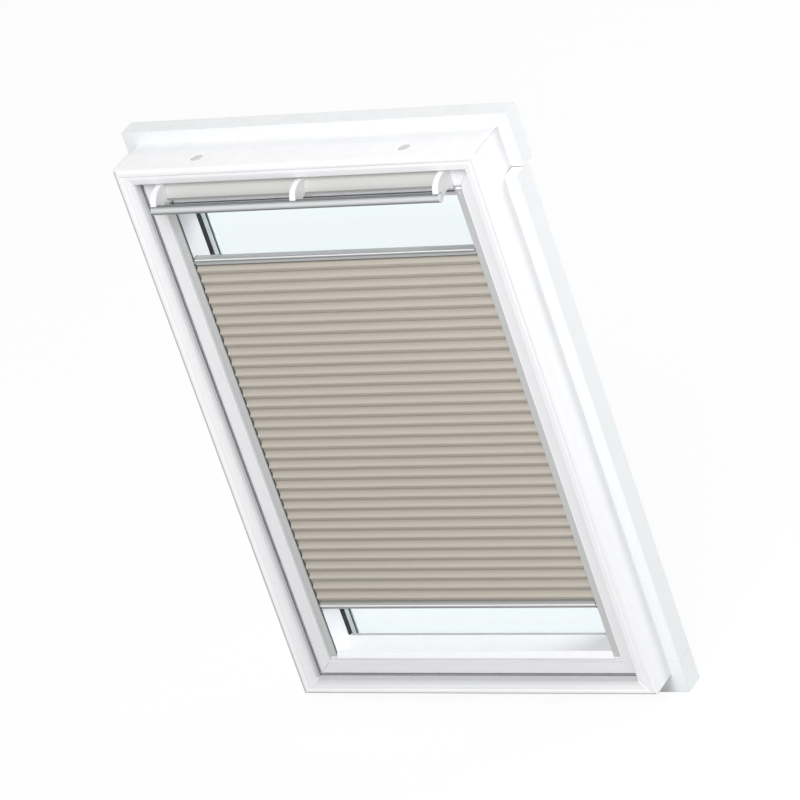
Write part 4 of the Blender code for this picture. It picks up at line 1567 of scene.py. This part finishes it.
@dataclass
class SashTrim(Trim):
    """Fittings of the sash: beads, the sill's edge, the rails' ribs, dark strips that paint the shadow line
    behind the rails, and screws.
    """

    body: Body = Body.SASH
    bead_radius: float = 0.0011
    bead_ends: Pair = (0.0002, 0.0003)
    face_width: float = 0.0275
    face_bead: float = 0.0012
    face_bite: float = 0.0004
    face_top: float = 0.004
    edge_foot: float = 0.0004
    edge_front: float = 0.0030
    edge_step: float = 0.0008
    edge_proud: float = 0.0002
    rib_radius: float = 0.0004
    rib_sink: float = 0.0001
    ribs: tuple[tuple[str, float], ...] = (("outer", 0.0022), ("inner", 0.0112))
    seal_half: float = 0.0005
    seal_depth: float = 0.0024
    rail_screw: Screw = Screw(0.0021, 0.0007, recess=0.0005)
    rail_edge: float = 0.008
    filter_ribs: int = 46
    filter_rib_radius: float = 0.0007
    filter_rib_sides: int = 6
    lock_screw: Screw = Screw(0.0034, 0.0005, recess=0.0008)
    lock_edge: float = 0.012

    def build(self) -> None:
        """Build every fitting of the sash."""
        self.build_reveal_beads()
        self.build_face_bead()
        self.build_sill_edge()
        self.build_rail_fittings()
        self.build_filter_ribs()
        self.end_screws(self.lock_screw, "lock_screw", "lock_case", UPWARD, self.lock_edge)

    def build_reveal_beads(self) -> None:
        """Build beads of paint in the four corners of the reveal."""
        place = self.place
        front, back = place.ledge + self.bead_ends[0], place.glass_front - self.bead_ends[1]
        ends = (("low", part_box("sash_bottom_rail")[1].z), ("high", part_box("sash_top_rail")[0].z))
        for side, sign in SIDES:
            for end, z in ends:
                middle = (place.ledge + place.glass_front) / 2
                path = [(sign * place.reveal, y, z) for y in (front, middle, back)]
                self.bead(f"reveal_bead_{side}_{end}", path, self.bead_radius, Slot.WHITE)

    def build_face_bead(self) -> None:
        """Build the bright edge between the sash's face and the ledge, up both sides and along the bottom."""
        reach = -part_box("sash_left_stile")[0].x - self.face_width + self.face_bite
        y = self.place.sash_face + self.face_bite
        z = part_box("sash_bottom_rail")[0].z + self.face_width + self.face_bite
        top = self.place.head - self.face_top
        path = [(-reach, y, top), (-reach, y, z), (reach, y, z), (reach, y, top)]
        self.bead("sash_face_bead", path, self.face_bead, Slot.WHITE)

    def build_sill_edge(self) -> None:
        """Build the sloped white strip that leads from the sash's face up to the sill, between the rails."""
        place = self.place
        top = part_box("sash_bottom_rail")[1].z + self.edge_proud
        foot = place.sill + self.edge_foot
        near, far = place.sash_face + self.edge_front, place.ledge + self.edge_proud
        section = [
            (far, foot),
            (near, foot),
            (near, foot + self.edge_step),
            (far - self.edge_foot, top),
            (far, top),
        ]
        reach = place.reveal - self.edge_foot
        loops = [[(x, y, z) for y, z in section] for x in (-reach, reach)]
        self.add(Shape("sill_edge_strip").loft(loops), Slot.WHITE, angle=None)

    def build_rail_fittings(self) -> None:
        """Build the guide rails' fine ribs, dark strips that paint the shadow line between each rail and the
        reveal, and screws.
        """
        rails = both("guide_rail_{}")
        for side, sign, low, high in rails:
            outer = low.x if sign < 0 else high.x
            for name, offset in self.ribs:
                path = upright(low, high, 0.0, outer - sign * offset, low.y + self.rib_sink)
                self.bead(f"rail_rib_{side}_{name}", path, self.rib_radius, Slot.RAIL)
        # Dark strips behind the rails: painted shadow line between each rail and the reveal.
        for side, sign, low, high in rails:
            x = sign * self.place.reveal
            first = (x - self.seal_half, high.y - self.seal_depth, low.z)
            last = (x + self.seal_half, high.y, high.z)
            self.add(Shape(f"rail_seal_{side}").box(first, last), Slot.PLASTIC, angle=None)
        for side, *_ in rails:
            name, node = f"rail_screw_{side}", f"guide_rail_{side}"
            self.end_screws(self.rail_screw, name, node, ROOMWARD, self.rail_edge)

    def build_filter_ribs(self) -> None:
        """Build upright ribs over the air filter."""
        low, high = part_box("air_filter")
        shape = Shape("air_filter_ribs")
        for i in range(self.filter_ribs):
            x = low.x + (high.x - low.x) * (i + 0.5) / self.filter_ribs
            shape.tube(upright(low, high, 0.0, x, low.y), self.filter_rib_radius, self.filter_rib_sides)
        self.add(shape, Slot.PLASTIC)


@dataclass
class Glazing(Trim):
    """The spacer between the panes, the rubber lip in front of them and the seal at the sill.

    The spacer runs all round. The lip runs up the sides and across the top. Along the sill a
    thin grey seal takes its place.
    """

    body: Body = Body.SASH
    spacer_width: float = 0.0085
    chamfer: float = 0.0012
    groove: float = 0.0005
    butyl_span: Pair = (-0.0022, 0.0004)
    butyl_overlap: float = 0.0002
    butyl_depth: float = 0.0009
    lip: tuple[Pair, ...] = (
        (-0.0020, 0.0001),
        (0.0002, 0.0001),
        (0.0014, 0.0005),
        (0.0026, 0.0019),
        (0.0036, 0.0039),
        (0.0038, 0.0053),
        (-0.0020, 0.0053),
    )
    sill_sink: float = 0.002
    sill_front: float = 0.0006
    sill_edge: float = 0.0003

    def build(self) -> None:
        """Build the spacer with its seals, the lip and the seal at the sill."""
        self.build_spacer()
        self.build_lip()

    def build_spacer(self) -> None:
        """Build the grey spacer, with a seam along its middle, and dark butyl at both panes."""
        low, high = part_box("glass_spacer")
        near, far = low.y, high.y
        middle = (near + far) / 2
        edge = self.spacer_width
        front = [(0.0, near), (edge - self.chamfer, near), (edge, near + self.chamfer)]
        front.append((edge, middle - self.groove))
        back = [(inset, near + far - y) for inset, y in reversed(front)]
        section = front + [(edge - self.groove, middle)] + back
        spacer = self.add(Shape("spacer_profile").ring(section, low, high), Slot.SPACER, angle=None)
        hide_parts("glass_spacer")
        start, end = (edge + part for part in self.butyl_span)
        for name, first, last in (
            ("inner", near - self.butyl_overlap, near + self.butyl_depth),
            ("outer", far - self.butyl_depth, far + self.butyl_overlap),
        ):
            strip = [(start, first), (end, first), (end, last), (start, last)]
            self.add(Shape(f"butyl_line_{name}").ring(strip, low, high), Slot.RUBBER, angle=None)

    def build_lip(self) -> None:
        """Build the rubber lip up the left, across the top and down the right, and the seal at the sill."""
        front, reveal = self.place.glass_front, self.place.reveal
        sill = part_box("sash_bottom_rail")[1].z
        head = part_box("sash_top_rail")[0].z
        foot = sill - self.sill_sink
        loops = []
        for sign, is_top in ((-1, False), (-1, True), (1, True), (1, False)):
            loop = []
            for inset, rise in self.lip:
                loop.append((sign * (reveal - inset), front + rise, head - inset if is_top else foot))
            loops.append(loop)
        lip = self.add(Shape("glazing_lip").loft(loops), Slot.RUBBER)
        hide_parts("inner_glazing_gasket")
        low = (-reveal, front + self.sill_front, foot)
        high = (reveal, front + self.lip[-1][1], sill + self.sill_edge)
        self.add(Shape("sill_gasket").box(low, high), Slot.SPACER)


@dataclass
class FlapTrim(Trim):
    """Fittings of the ventilation flap: the bar's end plugs, the flap's lip and strip, and a dark strip that
    paints the shadow under the flap.
    """

    body: Body = Body.FLAP
    plug_radius: float = 0.0082
    plug_foot: tuple[Pair, ...] = ((1.0, -0.0003), (1.0, 0.0003))
    plug_dome: tuple[Pair, ...] = ((0.93, 0.0006), (0.7, 0.0009), (0.2, 0.0009))
    shadow_strip_drop: float = 0.0140
    shadow_strip_front: float = 0.0006
    shadow_strip_short: float = 0.003
    shadow_strip_radius: float = 0.0014
    shadow_strip_sides: int = 10
    lip_radius: float = 0.0032
    lip_sides: int = 12
    lip_back: float = 0.0027
    lip_up: float = 0.0052
    lip_short: float = 0.0004
    strip_radius: float = 0.0007
    strip_short: float = 0.001
    strip_front: float = 0.0018
    strip_sink: float = 0.0004

    def build(self) -> None:
        """Build the end plugs and the flap's edge fittings."""
        low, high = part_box("control_bar")
        for side, sign in SIDES:
            x = low.x if sign < 0 else high.x
            place = facing((x, (low.y + high.y) / 2, (low.z + high.z) / 2), (sign, 0, 0))
            shares = self.plug_foot + self.plug_dome
            profile = [(self.plug_radius * share, height) for share, height in shares]
            self.add(Shape(f"bar_end_plug_{side}").lathe(profile, place), Slot.WHITE)
        self.build_edges()

    def build_edges(self) -> None:
        """Build a dark strip on the sash's top rail that paints the shadow under the flap, the flap's rounded
        lower lip and its upper strip.
        """
        low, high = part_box("vent_flap")
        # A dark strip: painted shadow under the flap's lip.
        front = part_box("sash_top_rail")[0].y - self.shadow_strip_front
        path = level(*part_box("control_bar"), self.shadow_strip_short, front, low.z - self.shadow_strip_drop)
        seal = Shape("flap_shadow_strip").tube(path, self.shadow_strip_radius, self.shadow_strip_sides)
        seal.done(Slot.PLASTIC, self.looks, Body.SASH)
        path = level(low, high, self.lip_short, low.y + self.lip_back, low.z + self.lip_up)
        # The lip is rounded like the real one; its darker metal is painted shade.
        self.bead("flap_lip", path, self.lip_radius, Slot.RAIL, self.lip_sides, tone=Tone.FLAP_EDGE)
        path = level(low, high, self.strip_short, high.y - self.strip_front, high.z - self.strip_sink)
        self.bead("flap_top_strip", path, self.strip_radius, Slot.RUBBER)


@dataclass
class BlindTrim(Trim):
    """Fittings of the blind's two bars, with the heights of the lines along their fronts: white beads that
    paint the ribs' highlights, and dark lines that paint the shade in the groove and under the foot.
    """

    # White beads are painted highlights; dark lines are painted shade.
    top_lines: tuple[tuple[str, float, float, Slot], ...] = (
        ("upper_highlight_bead", 0.0118, 0.0012, Slot.WHITE),
        ("groove_shade_line", 0.0086, 0.0006, Slot.PLASTIC),
        ("lower_bead", 0.0052, 0.0008, Slot.BAR),
        ("foot_shadow_line", 0.0010, 0.0006, Slot.PLASTIC),
    )
    bottom_lines: tuple[tuple[str, float, float, Slot], ...] = (
        ("upper_highlight_bead", 0.0074, 0.0016, Slot.WHITE),
        ("groove_shade_line", 0.0030, 0.0006, Slot.PLASTIC),
    )
    line_short: float = 0.0006
    line_sink: float = 0.35
    clamp_radius: float = 0.0009
    clamp_short: float = 0.002
    clamp_sink: float = 0.0004
    pin: Screw = Screw(0.0016, 0.0005, recess=0.0004)
    pin_edge: float = 0.0014

    def build(self) -> None:
        """Build both bars' fittings."""
        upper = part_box("blind_top_bar")[0].z + self.clamp_sink
        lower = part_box("blind_bottom_bar")[1].z - self.clamp_sink
        self.build_bar("top", Body.BLIND_TOP, upper, self.top_lines)
        self.build_bar("bottom", Body.BLIND_BOTTOM, lower, self.bottom_lines)

    def build_bar(
        self, name: str, body: Body, clamp_z: float, lines: Sequence[tuple[str, float, float, Slot]]
    ) -> None:
        """Build one bar's cloth clamp, the painted highlight and shade lines along its front and the pins in
        its end caps.

        Args:
            name: The bar's name, top or bottom.
            body: The bar's body.
            clamp_z: The height of the cloth's clamp.
            lines: Each line's name, height over the bar's foot, radius and slot.
        """
        self.body = body
        low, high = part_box(f"blind_{name}_bar")
        path = level(low, high, self.clamp_short, (low.y + high.y) / 2, clamp_z)
        self.bead(f"blind_{name}_clamp", path, self.clamp_radius, Slot.RAIL)
        for part, height, radius, slot in lines:
            path = level(low, high, self.line_short, low.y + radius * self.line_sink, low.z + height)
            self.bead(f"blind_{name}_{part}", path, radius, slot)
        for side, sign, low, high in both(f"blind_{name}_end_cap_{{}}"):
            x = (low.x if sign > 0 else high.x) + sign * self.pin_edge
            point = (x, low.y, (low.z + high.z) / 2)
            self.seat(self.pin, f"blind_{name}_cap_pin_{side}", point, ROOMWARD)


@dataclass
class ExteriorTrim(Trim):
    """Fittings of the outside: hems, end caps, the casing's rib, screws and rivets."""

    hem_radius: float = 0.0012
    hem_proud: float = 0.0002
    hem_short: float = 0.001
    hem_sides: int = 10
    bottom_hem_short: float = 0.003
    bottom_hem_up: float = 0.0014
    cap_edge: float = 0.0006
    cap_gap: float = 0.0004
    cap_heights: Pair = (0.0014, 0.0002)
    rib_radius: float = 0.0016
    rib_up: float = 0.018
    rib_short: float = 0.02
    sheet_screw: Screw = Screw(0.0042, 0.0024, recess=0.0014, drive=Drive.HEX)
    sheet_screw_edge: float = 0.014
    sheet_screw_end: float = 0.06
    side_screws: int = 4
    bottom_shares: tuple[float, ...] = (0.08, 0.36, 0.64, 0.92)
    rivet: Screw = Screw(0.0032, 0.0011, recess=0.0004, drive=Drive.SLOT)
    rivet_shares: tuple[float, ...] = (0.12, 0.5, 0.88)

    def build(self) -> None:
        """Build every fitting of the outside."""
        self.build_hems()
        self.build_end_caps()
        self.build_sheet_screws()
        self.build_rivets()
        self.build_casing_rib()

    def build_hems(self) -> None:
        """Build folded hems along the inner edges of the claddings."""
        for side, sign, low, high in both("side_cladding_{}"):
            x = (high.x if sign < 0 else low.x) + sign * self.hem_radius
            path = upright(low, high, self.hem_short, x, high.y + self.hem_proud)
            self.bead(f"side_hem_{side}", path, self.hem_radius, Slot.COVER, self.hem_sides)
        low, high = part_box("bottom_cladding")
        y, z = high.y + self.hem_proud, low.z + self.bottom_hem_up
        path = level(low, high, self.bottom_hem_short, y, z)
        self.bead("bottom_hem", path, self.hem_radius, Slot.COVER, self.hem_sides)

    def build_end_caps(self) -> None:
        """Build the folded sheets that close the upper end of each side cladding below the casing."""
        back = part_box("top_casing")[0].y - self.cap_edge
        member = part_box("frame_right_member")[1].x + self.cap_gap
        for side, sign, low, high in both("side_cladding_{}"):
            outer = max(abs(low.x), abs(high.x)) - self.cap_edge
            start, end = sorted((sign * member, sign * outer))
            foot, top = (high.z - drop for drop in self.cap_heights)
            shape = Shape(f"cladding_cap_{side}").box((start, low.y + self.cap_gap, foot), (end, back, top))
            self.add(shape, Slot.COVER)

    def build_sheet_screws(self) -> None:
        """Build hexagon screws along the claddings' outer faces."""
        for side, sign, low, high in both("side_cladding_{}"):
            x = (low.x if sign < 0 else high.x) - sign * self.sheet_screw_edge
            run = high.z - low.z - 2 * self.sheet_screw_end
            for i in range(self.side_screws):
                z = low.z + self.sheet_screw_end + run * i / (self.side_screws - 1)
                self.seat(self.sheet_screw, f"cladding_screw_{side}_{i + 1}", (x, high.y, z), OUTWARD)
        low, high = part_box("bottom_cladding")
        for i, share in enumerate(self.bottom_shares):
            point = (low.x + (high.x - low.x) * share, high.y, (low.z + high.z) / 2)
            self.seat(self.sheet_screw, f"cladding_screw_bottom_{i + 1}", point, OUTWARD)

    def build_rivets(self) -> None:
        """Build flat rivets on the sash's covers."""
        for name in ("bottom", "top", "left", "right"):
            low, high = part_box(f"sash_cover_{name}")
            middle = (low + high) / 2
            for i, share in enumerate(self.rivet_shares):
                x = low.x + (high.x - low.x) * share
                z = low.z + (high.z - low.z) * share
                point = (middle.x, high.y, z) if name in ("left", "right") else (x, high.y, middle.z)
                self.seat(self.rivet, f"cover_rivet_{name}_{i + 1}", point, OUTWARD, Slot.COVER, Body.SASH)

    def build_casing_rib(self) -> None:
        """Build the pressed rib across the casing."""
        low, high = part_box("top_casing")
        path = level(low, high, self.rib_short, high.y + self.hem_proud, low.z + self.rib_up)
        self.bead("casing_rib", path, self.rib_radius, Slot.COVER, self.hem_sides)


@dataclass(frozen=True)
class Softbox:
    """A square lamp that looks at the middle of the window."""

    name: str
    place: Point
    size: float
    power: float
    aim: Point = (0.0, 0.0, 0.6)

    def build(self) -> None:
        """Add the lamp to the scene."""
        data = bpy.data.lights.new(self.name, "AREA")
        data.shape = "SQUARE"
        data.size = self.size
        data.energy = self.power
        lamp = bpy.data.objects.new(self.name, data)
        along = Vector(self.aim) - Vector(self.place)
        turn = along.to_track_quat("-Z", "Y").to_matrix().to_4x4()
        lamp.matrix_world = Matrix.Translation(self.place) @ turn
        bpy.context.scene.collection.objects.link(lamp)


@dataclass
class Studio:
    """The floor, the light and the camera."""

    floor_size: float = 60.0
    floor_gap: float = 0.0006
    floor_colour: Colour = (0.5, 0.5, 0.5)
    white: Colour = (1.0, 1.0, 1.0)
    lens: float = 276.87
    sensor: float = 36.0
    sight: float = 200.0
    eye: Point = (5.9655, -8.3233, 5.8281)
    right: Point = (0.85497, 0.42624, -0.29554)
    down: Point = (-0.02146, -0.54024, -0.84124)
    ahead: Point = (-0.51824, 0.72558, -0.45274)
    lamps: tuple[Softbox, ...] = (
        Softbox("key_lamp", (1.32, -4.2, 4.68), 3.0, 277.0),
        Softbox("daylight_lamp", (3.96, 2.75, 3.24), 2.5, 160.0),
        Softbox("side_lamp", (1.9, -1.6, 0.7), 1.6, 6.0),
    )
    sky: Colour = (0.97, 0.985, 1.0)
    sky_strength: float = 0.32
    glow: float = 0.88
    glow_strength: float = 1.07

    def build(self) -> None:
        """Build the whole studio."""
        self.build_floor()
        self.build_world()
        for lamp in self.lamps:
            lamp.build()
        self.build_camera()
        bpy.context.scene.view_settings.view_transform = "Standard"

    def background_share(self, graph: Graph) -> Socket:
        """Mask the camera, glossy and transmission rays.

        Args:
            graph: The shader's graph.

        Returns:
            The mask, which is 1 for these rays.
        """
        rays = graph.add("LightPath").outputs
        seen = graph.math("MAXIMUM", rays["Is Camera Ray"], rays["Is Glossy Ray"])
        return graph.math("MAXIMUM", seen, rays["Is Transmission Ray"])

    def build_floor(self) -> None:
        """Build a pale plain floor that keeps the shadow and otherwise meets a white background."""
        made = bpy.data.materials.new("studio_floor")
        made.use_nodes = True
        made.node_tree.nodes.clear()
        graph = Graph(made.node_tree)
        matt = graph.add("BsdfDiffuse", {"Color": self.floor_colour})
        light = graph.add("Emission", {"Color": self.white, "Strength": self.glow_strength})
        share = graph.math("MULTIPLY", self.background_share(graph), self.glow)
        mix = graph.add("MixShader", {0: share, 1: matt.outputs[0], 2: light.outputs[0]})
        graph.add("OutputMaterial", {"Surface": mix.outputs[0]})
        half = self.floor_size / 2
        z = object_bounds()[0][2] - self.floor_gap
        mesh = bpy.data.meshes.new("floor")
        corners = [(-half, -half, z), (half, -half, z), (half, half, z), (-half, half, z)]
        mesh.from_pydata(corners, [], [(0, 1, 2, 3)])
        mesh.materials.append(made)
        floor = bpy.data.objects.new("floor", mesh)
        bpy.context.scene.collection.objects.link(floor)
        floor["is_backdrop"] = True

    def build_world(self) -> None:
        """Build a soft sky that lights the object and is seen as plain white."""
        world = bpy.data.worlds.new("studio")
        world.use_nodes = True
        world.node_tree.nodes.clear()
        graph = Graph(world.node_tree)
        light = graph.add("Background", {"Color": self.sky, "Strength": self.sky_strength})
        white = graph.add("Background", {"Color": self.white, "Strength": 1.0})
        share = self.background_share(graph)
        mix = graph.add("MixShader", {0: share, 1: light.outputs[0], 2: white.outputs[0]})
        graph.add("OutputWorld", {"Surface": mix.outputs[0]})
        bpy.context.scene.world = world

    def build_camera(self) -> None:
        """Build the camera of the main view."""
        data = bpy.data.cameras.new("camera")
        data.lens = self.lens
        data.sensor_width = self.sensor
        data.clip_end = self.sight
        camera = bpy.data.objects.new("camera", data)
        turn = Matrix((Vector(self.right), -Vector(self.down), -Vector(self.ahead))).transposed().to_4x4()
        camera.matrix_world = Matrix.Translation(self.eye) @ turn
        bpy.context.scene.collection.objects.link(camera)
        bpy.context.scene.camera = camera


def main() -> None:
    """Build the looks in order."""
    logging.basicConfig(level=logging.INFO, format="%(message)s")
    Studio().build()
    place = Place.read()
    looks = Looks()
    looks.build(place)
    looks.dress_nodes()
    PleatedCloth(looks).build()
    for trim in (FrameTrim, SashTrim, Glazing, FlapTrim, BlindTrim, ExteriorTrim):
        trim(place, looks).build()


if __name__ == "__main__":
    main()
